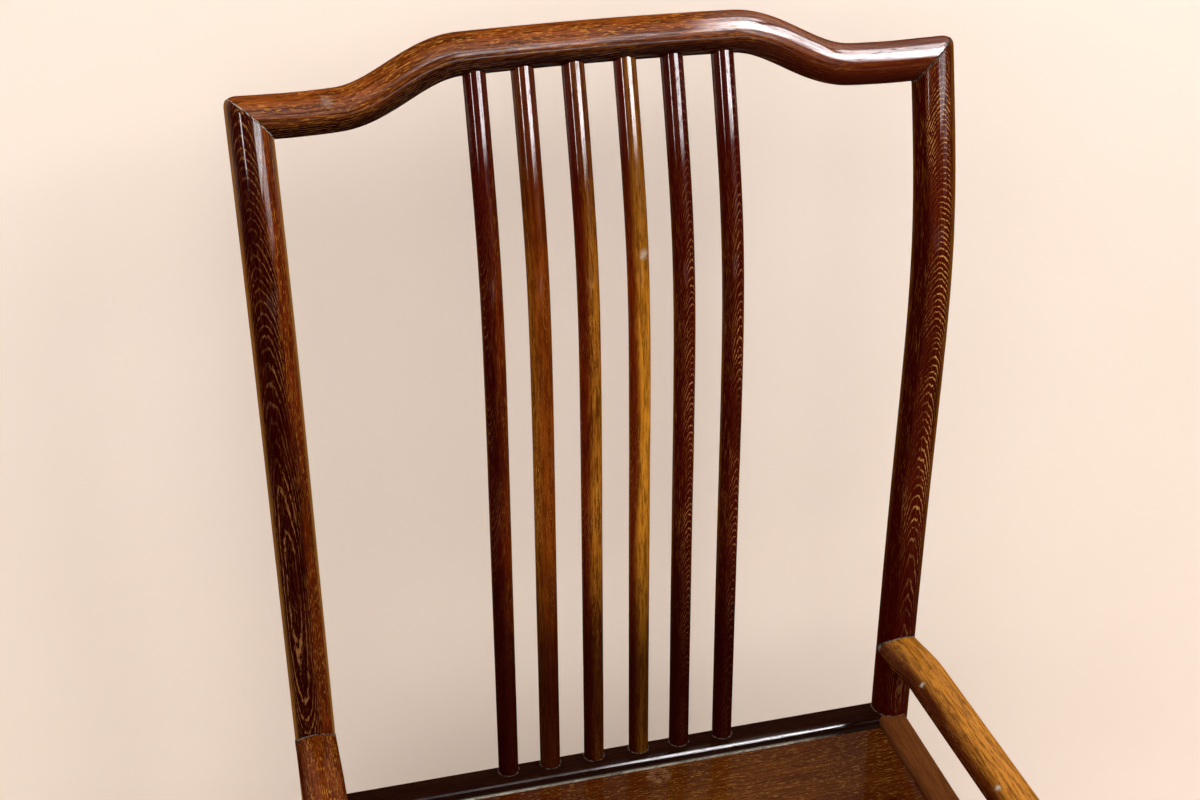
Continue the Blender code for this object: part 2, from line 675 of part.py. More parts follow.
panel, panel_front, panel_back = make_panel(panel_wood)
for side in (LEFT, RIGHT):
    for host_rings in (post_rings(side, CLEARANCE), leg_rings(side, CLEARANCE)):
        combine(panel, loft("tool", host_rings), "DIFFERENCE")
    x = side * BATTEN_SPACING / 2
    batten = loft(SIDE_NAMES[side] + "_batten",
                  dovetail(x, panel_front + CLEARANCE, panel_back - CLEARANCE, 0.0), dark_wood)
    combine(panel, loft("tool", dovetail(x, panel_front - RAIL_WIDTH, panel_back + RAIL_WIDTH,
                                         CLEARANCE)), "DIFFERENCE")
    batten_z = SEAT_HEIGHT - PANEL_RECESS - PANEL_THICKNESS - BATTEN_HEIGHT / 3
    for rail, face, inward in ((rear_rail, panel_back, -Y_AXIS), (front_rail, panel_front, Y_AXIS)):

        def batten_peg(extra, x=x, face=face, inward=inward):
            root = Vector((x, face, batten_z)) + inward * ROUND_TENON_DIAMETER
            tip = Vector((x, face, batten_z)) - inward * (GROOVE_DEPTH + extra)
            return block(root, tip, ROUND_TENON_DIAMETER + 2 * extra,
                         ROUND_TENON_DIAMETER / 2 + 2 * extra, X_AXIS)

        seat_peg(batten, rail, batten_peg)

apron_plans = [("rear_apron", Vector((0, REAR_Y, 0)), Y_AXIS, HALF_SPACING, posts[LEFT], posts[RIGHT]),
               ("front_apron", Vector((0, FRONT_Y, 0)), -Y_AXIS, HALF_SPACING, legs[LEFT], legs[RIGHT])]
apron_plans += [(SIDE_NAMES[side] + "_apron", Vector((side * HALF_SPACING, middle_y, 0)), X_AXIS * side,
                 half_depth, posts[side], legs[side]) for side in (LEFT, RIGHT)]
for name, middle, outward, half_span, first_host, second_host in apron_plans:
    apron, board = make_apron(name, middle, outward, half_span, dark_wood)
    for host in (first_host, second_host):
        combine(host, board(CLEARANCE), "DIFFERENCE")

post_ends = {side: (posts[side], post_rings(side, CLEARANCE)) for side in (LEFT, RIGHT)}
leg_ends = {side: (legs[side], leg_rings(side, CLEARANCE)) for side in (LEFT, RIGHT)}
make_stretcher("rear_stretcher", post_centre(LEFT, REAR_STRETCHER_HEIGHT),
               post_centre(RIGHT, REAR_STRETCHER_HEIGHT), dark_wood, (post_ends[LEFT], post_ends[RIGHT]))
for side in (LEFT, RIGHT):
    make_stretcher(SIDE_NAMES[side] + "_stretcher", leg_centre(side, SIDE_STRETCHER_HEIGHT),
                   post_centre(side, SIDE_STRETCHER_HEIGHT), dark_wood, (leg_ends[side], post_ends[side]))
make_footrest(dark_wood, legs)
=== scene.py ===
"""The looks of a comb-back armchair in dark figured hardwood, piece by piece as it is put together.

Metres, +Z up. The chair faces -Y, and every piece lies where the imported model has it.
"""
import math

import bmesh
import bpy
import numpy as np
from mathutils import Matrix


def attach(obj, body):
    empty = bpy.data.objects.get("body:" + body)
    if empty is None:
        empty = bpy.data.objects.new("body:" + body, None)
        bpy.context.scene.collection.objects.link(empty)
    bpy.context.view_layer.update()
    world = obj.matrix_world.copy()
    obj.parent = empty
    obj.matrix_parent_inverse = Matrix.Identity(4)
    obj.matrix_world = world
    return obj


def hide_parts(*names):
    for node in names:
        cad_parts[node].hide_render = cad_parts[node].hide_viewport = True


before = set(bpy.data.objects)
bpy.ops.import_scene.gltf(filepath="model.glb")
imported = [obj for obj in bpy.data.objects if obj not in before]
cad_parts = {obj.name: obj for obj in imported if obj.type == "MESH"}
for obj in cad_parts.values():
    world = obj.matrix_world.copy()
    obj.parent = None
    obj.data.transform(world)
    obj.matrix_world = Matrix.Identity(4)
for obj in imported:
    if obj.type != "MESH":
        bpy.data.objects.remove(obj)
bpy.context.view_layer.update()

# Rear posts
# Two round sticks of dark figured hardwood that run from the floor to the crest rail, straight below the
# seat and leaning back above it. Each ends in a mitre, worn soft at its outer corner, under clear varnish.
POST_SPACING = 0.530
LEG_DEPTH = 0.440
SEAT_HEIGHT = 0.460
BACK_RISE = 0.614
POST_DIAMETER = 0.034
POST_TOP_DIAMETER = 0.0332
BACK_STATIONS = (0.0, 0.4, 0.6, 0.8, 1.0)
BACK_SETBACKS = (0.0, 0.0, -0.0017, 0.0049, 0.0337)
CREST_DIAMETER = 0.0325
CREST_BOW = 0.0265
HUMP_HEIGHT = 0.0308
HUMP_START = 0.106
HUMP_END = 0.201
END_LIFT = 0.0034
LEG_DIAMETER = 0.034
ARM_DIAMETER = 0.0348
CORNER_ROUND = 0.009
CORNER_LEAD = 0.003
CORNER_STEPS = 14
STICK_SIDES = 72
POST_RINGS = 90

LEFT = -1
RIGHT = 1
SIDE_NAMES = {LEFT: "left", RIGHT: "right"}
ACROSS = np.array((1.0, 0.0, 0.0))
BACKWARD = np.array((0.0, 1.0, 0.0))
UPWARD = np.array((0.0, 0.0, 1.0))

half_spacing = POST_SPACING / 2
back_top = SEAT_HEIGHT + BACK_RISE
corner_trim = max(CREST_DIAMETER, POST_DIAMETER, ARM_DIAMETER) / 2 + CORNER_ROUND
rear_reach = BACK_SETBACKS[-1] + CREST_BOW + CREST_DIAMETER / 2
rear_y = (LEG_DEPTH + LEG_DIAMETER / 2 - rear_reach) / 2
front_y = rear_y - LEG_DEPTH


class Value:
    """What a node gives; sums written with it become more nodes of its tree."""

    def __init__(self, nodes, socket):
        self.nodes = nodes
        self.socket = socket

    def __add__(self, other):
        return self.nodes.maths("ADD", self, other)

    def __radd__(self, other):
        return self.nodes.maths("ADD", other, self)

    def __sub__(self, other):
        return self.nodes.maths("SUBTRACT", self, other)

    def __rsub__(self, other):
        return self.nodes.maths("SUBTRACT", other, self)

    def __mul__(self, other):
        return self.nodes.maths("MULTIPLY", self, other)

    def __rmul__(self, other):
        return self.nodes.maths("MULTIPLY", other, self)

    def __truediv__(self, other):
        return self.nodes.maths("DIVIDE", self, other)


class Nodes:
    """The nodes of one tree."""

    def __init__(self, tree):
        self.tree = tree

    def node(self, kind, settings, sockets, output=0):
        """Adds a node, with its settings first and then the values or links of its sockets."""
        node = self.tree.nodes.new(kind)
        for name, setting in settings.items():
            setattr(node, name, setting)
        for key, value in sockets.items():
            self.fill(node.inputs[key], value)
        return Value(self, node.outputs[output])

    def fill(self, socket, value):
        if isinstance(value, Value):
            self.tree.links.new(value.socket, socket)
        else:
            socket.default_value = value

    def maths(self, operation, *terms):
        return self.node("ShaderNodeMath", {"operation": operation}, dict(enumerate(terms)))

    def vector(self, operation, first, second, output=0):
        return self.node("ShaderNodeVectorMath", {"operation": operation}, {0: first, 1: second}, output)


class Finish(Nodes):
    """One material and the nodes that make it."""

    def __init__(self, name):
        self.material = bpy.data.materials.new(name)
        self.material.use_nodes = True
        super().__init__(self.material.node_tree)
        self.shader = self.tree.nodes["Principled BSDF"]

    def surface(self, looks):
        """Fills the shader's inputs by their names and hands over the material."""
        for name, value in looks.items():
            self.fill(self.shader.inputs[name], value)
        return self.material

    def bumps(self, height, strength):
        relief = {"Strength": strength, "Distance": RELIEF_DEPTH, "Height": height}
        return self.node("ShaderNodeBump", {}, relief)

    def place(self):
        return self.node("ShaderNodeTexCoord", {}, {}, "Object")

    def parts(self, vector):
        """The three numbers of a vector."""
        split = self.node("ShaderNodeSeparateXYZ", {}, {0: vector})
        return [Value(self, socket) for socket in split.socket.node.outputs]

    def noise(self, vector, grain, shift=0.0, detail=2.0, roughness=0.5):
        """Cloudy noise from 0 to 1; grain is how many waves fit in a metre along each axis."""
        moved = self.vector("ADD", vector, (shift, 0.37 * shift, 0.73 * shift))
        scaled = self.vector("MULTIPLY", moved, grain)
        return self.node("ShaderNodeTexNoise", {}, {"Vector": scaled, "Scale": 1.0, "Detail": detail,
                                                    "Roughness": roughness}, "Fac")

    def rise(self, value, low, high):
        """Climbs softly from 0 to 1 while the value runs from low to high."""
        return self.node("ShaderNodeMapRange", {"interpolation_type": "SMOOTHSTEP"},
                         {"Value": value, "From Min": low, "From Max": high})

    def steps(self, value, parts):
        """A share that changes softly at each (low, high, change), or 1 where there are none."""
        share = 0.0
        for low, high, change in parts:
            share = share + self.rise(value, low, high) * change
        return share if parts else 1.0

    def blend(self, share, first, second):
        """Mixes two colours, the second over the first by the share."""
        return self.node("ShaderNodeMix", {"data_type": "RGBA"}, {0: share, 6: first, 7: second}, 2)

    def joint(self, colour, coat, near, dust_share, shift):
        """Grime and crumbs of dust in a joint, where the varnish has broken."""
        crumbs = self.rise(self.noise(self.place(), (300.0, 300.0, 300.0), shift, 2.0, 0.6), 0.42, 0.60)
        colour = self.blend(near, colour, self.blend(crumbs * dust_share, GRIME_AND_SHADE, DUST))
        return colour, coat - near * 0.6


def rgb(red, green, blue):
    return (red, green, blue, 1.0)


RELIEF_DEPTH = 0.0002
DUST = rgb(0.42, 0.36, 0.30)
GRIME_AND_SHADE = rgb(0.012, 0.006, 0.004)
FLECK = rgb(0.42, 0.17, 0.025)


def figured_wood(name, radius, face, flank, line, turn, zone=(0.1, 0.55), band=0.0010, climb=0.12,
                 eye=None, sway=0.0014, lines=0.6, flank_lines=0.15, fibres=0.6, clouds=0.35, flecks=0.4,
                 fleck_grain=1150.0, glints=0.3, seed=0.0, fades=(), edge_sheens=(0.0, 0.0), edge_sheen_turn=-12,
                 edge_sheen_colour=rgb(0.22, 0.085, 0.010), scuffs=(), seams=(), collars=(), roughness=0.20,
                 coat_roughness=0.08, gloss=(0.7, 0.7), gloss_zone=None, dull=(), front_dull=(), polish=None):
    """Hardwood with thin pale growth lines, in a stick's own straight coordinates.

    The lines open into nested arches on the face, which points where turn says, and run straight and
    fainter on the flanks. Where the face is turned down, as on the crest rail, or down and to the left, as on
    the arms, its darker colour is painted shade on that lower side. Climb is how steeply the growth runs out
    of the stick, and the arches turn over at the eye. Each fade tints one end. The two rim shares say how
    strongly the two sides are painted pale, a painted reflection of the bright room at the grazing edges.
    Gloss is how thick the varnish lies on the flanks and on the face, and polish says where along the stick
    it is whole. Dull and front dull change it along x, on the flanks and on the face.
    """
    finish = Finish(name)
    stick = finish.node("ShaderNodeAttribute", {"attribute_name": "stick"}, {}, "Vector")
    place = finish.place()
    rise, blend = finish.rise, finish.blend
    aside, outward, along = finish.parts(stick)

    def towards(degrees):
        """How far a point lies from the stick's axis in one direction round it."""
        angle = math.radians(degrees)
        return aside * math.cos(angle) + outward * math.sin(angle)

    def streaks(cross, run, shift, detail=2.0, roughness=0.5):
        """Noise with so many waves in a metre across the stick and along it."""
        return finish.noise(stick, (cross, cross, run), seed + shift, detail, roughness)

    depth = towards(turn)
    slow_wave = streaks(26.0, 5.0, 3.0, 1.0) - 0.5
    rough_wave = streaks(90.0, 24.0, 0.0, 2.0, 0.6) - 0.5
    jitter = streaks(620.0, 150.0, 1.0, 1.0) - 0.5
    if eye is None:
        run_out = along * climb
    else:
        run_out = (along - eye) * (along - eye) * (climb / 0.7)
    growth = depth + run_out + slow_wave * (4 * sway) + rough_wave * sway + jitter * 0.0005
    crowding = finish.maths("SINE", growth * (2 * math.pi / (band * 5.3)))
    ring = finish.maths("SINE", growth * (2 * math.pi / band) + crowding)
    gaps = streaks(900.0, 150.0, 5.0, 2.0, 0.6)
    strength = rise(streaks(70.0, 14.0, 6.0), 0.34, 0.66)
    thin = rise(ring, 0.60, 1.0) * rise(gaps, 0.36, 0.58) * (strength * 0.92 + 0.08)

    patchy = streaks(60.0, 9.0, 7.0) - 0.5
    facing = rise(depth / radius + patchy * 0.6, *zone)
    fine = streaks(1100.0, 75.0, 9.0, 3.0, 0.65)
    coarse = streaks(430.0, 26.0, 11.0)
    cloud = streaks(45.0, 7.0, 13.0)
    pores = rise(streaks(fleck_grain, 170.0, 15.0, 1.0), 0.57, 0.68)

    colour = blend(facing, flank, face)
    streak = rise(fine * 0.55 + coarse * 0.45, 0.57, 0.42)
    dark = rgb(face[0] * 0.35, face[1] * 0.25, face[2] * 0.3)
    colour = blend(streak * fibres, colour, dark)
    colour = blend(rise(cloud, 0.60, 0.32) * clouds, colour, dark)
    # Painted edge sheen: both sides of the stick are painted paler, standing in for the bright room's
    # reflection at its grazing edges.
    sideways = towards(edge_sheen_turn) / radius
    edge_sheen_mask = rise(sideways, 0.78, 0.98) * edge_sheens[1] + rise(sideways, -0.78, -0.98) * edge_sheens[0]
    colour = blend(edge_sheen_mask * (fine * 0.8 + 0.5), colour, edge_sheen_colour)
    colour = blend(thin * (facing * (1.0 - flank_lines) + flank_lines) * lines, colour, line)
    colour = blend(rise(fine, 0.54, 0.74) * glints * (1.0 - facing * 0.6), colour, FLECK)
    colour = blend(pores * (strength * flecks) * (1.0 - facing * 0.85), colour, FLECK)
    for low, high, tint, share in fades:
        colour = blend(rise(along, high, low) * share, colour, tint)

    edge = finish.node("ShaderNodeLayerWeight", {}, {"Blend": 0.5}, "Facing")
    front = rise(depth / radius + patchy * 0.4, *gloss_zone) if gloss_zone else facing
    x = finish.parts(place)[0] + patchy * 0.05
    side_coat = (1.0 - front) * gloss[0] * finish.steps(x, dull)
    front_coat = front * gloss[1] * finish.steps(x, front_dull)
    coat = (side_coat + front_coat) * (1.0 - pores * 0.5 - streak * 0.35)
    coat = coat * rise(edge, 0.75, 0.40)
    rough = roughness + fine * 0.14 + pores * 0.2 - 0.05
    if polish:
        low, high, least = polish
        coat = coat * (rise(along, low, high) * (1.0 - least) + least)
    for centre, size, share in scuffs:
        gap = finish.vector("DISTANCE", place, centre, 1)
        speckle = finish.noise(place, (420.0, 420.0, 420.0), seed + size * 900, 3.0, 0.65)
        mark = rise(gap / size + speckle * 1.5, 1.55, 0.85) * share
        colour = blend(mark, colour, DUST)
        coat = coat - mark * 0.5
        rough = rough + mark * 0.4
    for middle, normal, width, dust_share in seams:
        reach = finish.vector("DOT_PRODUCT", finish.vector("SUBTRACT", place, middle), normal, 1)
        near = rise(finish.maths("ABSOLUTE", reach), width, width * 0.35)
        colour, coat = finish.joint(colour, coat, near, dust_share, seed + 21.0)
    for x, y, reach, dust_share in collars:
        level = finish.vector("MULTIPLY", finish.vector("SUBTRACT", place, (x, y, 0.0)), (1.0, 1.0, 0.0))
        near = rise(finish.vector("LENGTH", level, (0.0, 0.0, 0.0), 1), reach, reach - 0.0009)
        colour, coat = finish.joint(colour, coat, near, dust_share, seed + 22.0)
    relief = fine * 0.6 - pores * 0.8 + thin * 0.2
    return finish.surface({"Base Color": colour, "Roughness": rough, "Normal": finish.bumps(relief, 0.5),
                           "Coat Weight": finish.maths("MAXIMUM", coat, 0.0), "Coat IOR": 1.5,
                           "Coat Roughness": coat_roughness, "Specular IOR Level": 0.0})


def unit(vector):
    return vector / np.linalg.norm(vector)


def smooth_curve(stations, values):
    """The natural cubic spline through a few points, straight beyond its ends, as a function."""
    at = np.array(stations)
    height = np.array(values)
    gap = np.diff(at)
    slope = np.diff(height) / gap
    system = np.eye(len(at))
    load = np.zeros(len(at))
    for i in range(1, len(at) - 1):
        system[i, i - 1:i + 2] = gap[i - 1], 2 * (gap[i - 1] + gap[i]), gap[i]
        load[i] = 6 * (slope[i] - slope[i - 1])
    bend = np.linalg.solve(system, load)

    def value(place):
        inside = min(max(place, at[0]), at[-1])
        i = min(int(np.searchsorted(at, inside, side="right")) - 1, len(gap) - 1)
        step = inside - at[i]
        start = slope[i] - gap[i] * (2 * bend[i] + bend[i + 1]) / 6
        twist = (bend[i + 1] - bend[i]) / gap[i]
        here = height[i] + step * (start + step * (bend[i] / 2 + step * twist / 6))
        steepness = start + step * (bend[i] + step * twist / 2)
        return float(here + steepness * (place - inside))

    return value


back_curve = smooth_curve(BACK_STATIONS, BACK_SETBACKS)


def ease(share):
    """Falls smoothly from 1 to 0 while the share runs from 0 to 1."""
    return (1 + math.cos(math.pi * min(max(share, 0.0), 1.0))) / 2


def post_centre(side, z):
    share = max(z - SEAT_HEIGHT, 0.0) / BACK_RISE
    return np.array((side * half_spacing, rear_y + back_curve(share), z))


def crest_centre(x):
    share = x / half_spacing
    hump = (HUMP_HEIGHT * ease((abs(x) - HUMP_START) / (HUMP_END - HUMP_START))
            - END_LIFT * (1 - max(abs(x) - HUMP_END, 0.0) ** 2 / (half_spacing - HUMP_END) ** 2))
    bow = CREST_BOW * (1 - share ** 2)
    return np.array((x, rear_y + BACK_SETBACKS[-1] + bow, back_top + hump))


ring_turns = 2 * math.pi * np.arange(STICK_SIDES) / STICK_SIDES


def spokes(along, side):
    """Unit vectors round an axis, square to it, starting at the side direction."""
    first = unit(side - along * (side @ along))
    second = np.cross(along, first)
    return np.cos(ring_turns)[:, None] * first + np.sin(ring_turns)[:, None] * second


def grain_ring(radius, along):
    """Where a ring's points lie in the stick's own straight coordinates."""
    lengths = np.broadcast_to(along, ring_turns.shape)
    return np.stack((radius * np.cos(ring_turns), radius * np.sin(ring_turns), lengths), axis=1)


def stick_rings(centres, radii, side):
    """Circles along a centre line, with their grain and the line's length."""
    centres = np.array(centres)
    before = np.concatenate((centres[:1], centres[:-1]))
    after = np.concatenate((centres[1:], centres[-1:]))
    lengths = np.concatenate(([0.0], np.cumsum(np.linalg.norm(np.diff(centres, axis=0), axis=1))))
    rings = [centre + radius * spokes(unit(ahead), side)
             for centre, radius, ahead in zip(centres, radii, after - before)]
    grain = [grain_ring(radius, length) for radius, length in zip(radii, lengths)]
    return rings, grain, lengths[-1]


def mitre_rings(corner, radius, side, knee_length):
    """The last rings of a stick that meets another in a mitre with a softened outer corner."""
    knee, along, other = corner
    normal = unit(-along - other)
    offset = knee + radius * spokes(along, side)
    reach = (-(radius * spokes(along, side)) @ normal / (normal @ along))[:, None]
    soft = CORNER_ROUND * np.maximum(reach / radius, 0.0)
    rings = []
    grain = []
    for step in range(CORNER_STEPS + 1):
        travel = (CORNER_LEAD + soft) * step / CORNER_STEPS
        straight = offset + along * (reach - soft - CORNER_LEAD + travel)
        t = 0.5 * (travel - CORNER_LEAD) / np.maximum(soft, 1e-9)
        first = offset + along * (reach - soft)
        middle = offset + along * reach
        last = middle + other * soft
        bent = first * (1 - t) ** 2 + middle * 2 * t * (1 - t) + last * t ** 2
        ring = np.where(travel <= CORNER_LEAD, straight, bent)
        rings.append(ring)
        grain.append(grain_ring(radius, knee_length + (ring - knee) @ along))
    return rings, grain


def make_piece(name, rings, grain, wood, crease=40):
    """A closed body through rings of equal count."""
    count = len(rings[0])
    points = np.concatenate(rings)
    faces = []
    for row in range(len(rings) - 1):
        start = row * count
        for i in range(count):
            j = (i + 1) % count
            faces.append((start + i, start + j, start + count + j, start + count + i))
    faces.append(tuple(reversed(range(count))))
    faces.append(tuple(range(len(points) - count, len(points))))
    mesh = bpy.data.meshes.new(name)
    mesh.from_pydata(points.tolist(), [], faces)
    finish_piece(name, mesh, np.concatenate(grain), wood, crease)


def add_object(name, data):
    thing = bpy.data.objects.new(name, data)
    bpy.context.scene.collection.objects.link(thing)
    return thing


def finish_piece(name, mesh, grain, wood, crease):
    """Puts a mesh in the place of a node of the model: the piece's name without its last word."""
    node = name.rsplit("_", 1)[0]
    shape = bmesh.new()
    shape.from_mesh(mesh)
    bmesh.ops.recalc_face_normals(shape, faces=shape.faces)
    shape.to_mesh(mesh)
    shape.free()
    if grain is not None:
        stick = mesh.attributes.new("stick", "FLOAT_VECTOR", "POINT")
        stick.data.foreach_set("vector", np.asarray(grain, dtype=np.float32).ravel())
    mesh.shade_smooth()
    mesh.set_sharp_from_angle(angle=math.radians(crease))
    mesh.materials.clear()
    mesh.materials.append(wood)
    piece = add_object(name, mesh)
    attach(piece, "root")
    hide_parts(node)


def mitred_stick(name, centres, radii, corner, wood, knee_length=None):
    """A round stick that ends in a mitre; knee length is its length up to the knee."""
    rings, grain, length = stick_rings(centres, radii, ACROSS)
    if knee_length is None:
        knee_length = length + np.linalg.norm(corner[0] - centres[-1])
    tip, tip_grain = mitre_rings(corner, radii[-1], ACROSS, knee_length)
    make_piece(name, rings + tip, grain + tip_grain, wood)


def crest_corner(side):
    """The knee over a post, the post's direction into it and the crest rail's out of it."""
    knee = crest_centre(side * half_spacing)
    post_along = unit(knee - post_centre(side, back_top - corner_trim))
    crest_out = unit(crest_centre(side * (half_spacing - corner_trim)) - knee)
    return knee, post_along, crest_out


def seam(corner, width, dust_share):
    """The joint line of a mitred corner: a point on it, its normal, its width and its dust."""
    knee, along, out = corner
    return tuple(knee), tuple(unit(-along - out)), width, dust_share


crest_seams = {LEFT: seam(crest_corner(LEFT), 0.0007, 0.9), RIGHT: seam(crest_corner(RIGHT), 0.0010, 0.15)}
post_woods = {
    LEFT: figured_wood("left_post_wood", POST_DIAMETER / 2, rgb(0.024, 0.0009, 0.0006),
                       rgb(0.120, 0.016, 0.0020), rgb(0.30, 0.12, 0.040), -114, zone=(0.56, 0.90),
                       band=0.0011, climb=-0.16, eye=0.70, seed=1.0, lines=0.70, flank_lines=0.22,
                       fibres=0.65, flecks=0.5, edge_sheens=(0.55, 0.9), edge_sheen_turn=0,
                       edge_sheen_colour=rgb(0.30, 0.15, 0.030), seams=(crest_seams[LEFT],), gloss=(0.60, 0.45),
                       polish=(0.965, 1.05, 0.04)),
    RIGHT: figured_wood("right_post_wood", POST_DIAMETER / 2, rgb(0.062, 0.0052, 0.0016),
                        rgb(0.028, 0.0004, 0.0003), rgb(0.56, 0.28, 0.085), -91, zone=(0.76, 0.93),
                        band=0.00095, climb=-0.15, eye=0.50, seed=2.0, lines=1.0, flank_lines=0.02,
                        fibres=0.45, flecks=0.08, edge_sheens=(0.35, 0.5), edge_sheen_turn=-26,
                        seams=(crest_seams[RIGHT],), gloss=(0.02, 0.20), polish=(0.98, 1.06, 0.12),
                        fades=((0.56, 0.76, rgb(0.026, 0.0008, 0.0005), 0.75),))}

for side in (LEFT, RIGHT):
    heights = np.linspace(0.0, back_top - corner_trim, POST_RINGS)
    shares = np.maximum(heights - SEAT_HEIGHT, 0.0) / BACK_RISE
    radii = (POST_DIAMETER + (POST_TOP_DIAMETER - POST_DIAMETER) * shares) / 2
    centres = [post_centre(side, z) for z in heights]
    corner = crest_corner(side)
    mitred_stick(SIDE_NAMES[side] + "_rear_post_stick", centres, radii, corner, post_woods[side],
                 knee_length=heights[-1] + np.linalg.norm(corner[0] - centres[-1]))

# Crest rail
# One curved stick sawn from a thick board: a hump in the middle, a bow to the rear, a dip beside each
# post. The spindles are let into its underside, and its ends are mitred onto the posts and glued.
CREST_RINGS = 150

# The dark face colour is turned down and forward, so the crest's underside is painted shade and its top keeps
# the lighter flank colour.
crest_wood = figured_wood("crest_wood", CREST_DIAMETER / 2, rgb(0.020, 0.0012, 0.0006),
                          rgb(0.165, 0.038, 0.0060), rgb(0.42, 0.19, 0.05), -120, zone=(0.30, 0.76),
                          band=0.0014, climb=0.03, seed=4.0, lines=0.35, fibres=0.68, flecks=0.65,
                          fleck_grain=900.0, gloss=(1.0, 0.5), gloss_zone=(0.0, 0.22),
                          dull=((-0.50, -0.40, 0.025), (0.055, 0.120, 0.975)),
                          front_dull=((-0.50, -0.40, 0.10), (-0.24, -0.06, 0.62), (0.09, 0.16, -0.64)),
                          coat_roughness=0.13, fades=((0.50, 0.28, rgb(0.060, 0.007, 0.002), 0.72),),
                          scuffs=(((-0.2085, rear_y + 0.030, back_top + 0.010), 0.0100, 0.28),
                                  ((-0.2110, rear_y + 0.028, back_top + 0.012), 0.0028, 0.8),
                                  ((-0.2010, rear_y + 0.027, back_top + 0.010), 0.0028, 0.9)),
                          seams=(crest_seams[LEFT], crest_seams[RIGHT]))

reach = half_spacing - corner_trim
stations = np.linspace(-reach, reach, CREST_RINGS)
rings, grain, crest_length = stick_rings([crest_centre(x) for x in stations],
                                         [CREST_DIAMETER / 2] * CREST_RINGS, BACKWARD)
for side in (RIGHT, LEFT):
    knee, post_along, crest_out = crest_corner(side)
    trim = np.linalg.norm(knee - crest_centre(side * reach))
    corner, corner_grain = mitre_rings((knee, -crest_out, -post_along), CREST_DIAMETER / 2, BACKWARD, trim)
    if side == RIGHT:
        rings += corner
        grain += [ring + (0.0, 0.0, crest_length) for ring in corner_grain]
    else:
        other_way = -np.arange(STICK_SIDES)
        rings = [ring[other_way] for ring in corner[::-1]] + rings
        grain = [ring[other_way] * (1.0, -1.0, -1.0) for ring in corner_grain[::-1]] + grain
make_piece("crest_rail_stick", rings, grain, crest_wood)

# Spindles
# Six slender round sticks, no two of one colour, tenoned into the rear seat rail and let into the crest
# rail. Each follows the lean of the posts and bends further back to meet the bowed crest rail.
SPINDLE_COUNT = 6
SPINDLE_DIAMETER = 0.0178
SPINDLE_PITCH_FOOT = 0.0401
SPINDLE_PITCH_TOP = 0.0390
SPINDLE_FOOT_SETBACK = 0.0019
SPINDLE_HAND_FITTING = 0.0012
SPINDLE_HAND_TURN = 2.2
SPINDLE_HOUSING = 0.010
SPINDLE_TENON = 0.004
SPINDLE_POINTS = 90
BAR_SIDES = 40
BAR_UNEVENNESS = 0.02
BAR_WAVES = 14.0

# Three woods are streaked and freshly varnished, one is plain and dark, and two show nested growth lines.
STREAKED = dict(zone=(0.0, 0.8), flecks=0.8, lines=0.2, fibres=0.8, gloss=(0.95, 0.95))
RINGED = dict(zone=(0.60, 0.95), flecks=0.15, lines=0.9, fibres=0.5)
SPINDLE_WOODS = (
    ("spindle_dark_wood", dict(face=rgb(0.034, 0.0012, 0.0007), flank=rgb(0.105, 0.013, 0.002), turn=-150,
                               zone=(0.0, 0.8), flecks=0.35, lines=0.25, fibres=0.6, gloss=(0.75, 0.75),
                               polish=(0.562, 0.604, 0.03))),
    ("spindle_red_wood", dict(STREAKED, face=rgb(0.175, 0.036, 0.0025), flank=rgb(0.235, 0.075, 0.006),
                              turn=-60, polish=(0.545, 0.603, 0.03))),
    ("spindle_dark_wood", dict(STREAKED, face=rgb(0.098, 0.008, 0.001), flank=rgb(0.330, 0.115, 0.010),
                               turn=-170, polish=(0.535, 0.603, 0.03))),
    ("spindle_golden_wood", dict(STREAKED, face=rgb(0.125, 0.013, 0.001), flank=rgb(0.560, 0.220, 0.016),
                                 turn=-170, zone=(0.15, 0.85), fibres=0.7,
                                 polish=(0.555, 0.603, 0.03))),
    ("spindle_dark_wood", dict(RINGED, face=rgb(0.050, 0.0032, 0.001), flank=rgb(0.036, 0.0008, 0.0005),
                               turn=-62, climb=-0.16, gloss=(0.75, 0.75), polish=(0.550, 0.602, 0.03))),
    ("spindle_dark_wood", dict(RINGED, face=rgb(0.052, 0.0034, 0.001), flank=rgb(0.034, 0.0008, 0.0005),
                               turn=-64, climb=-0.13, gloss=(0.95, 0.95), polish=(0.562, 0.604, 0.03))))


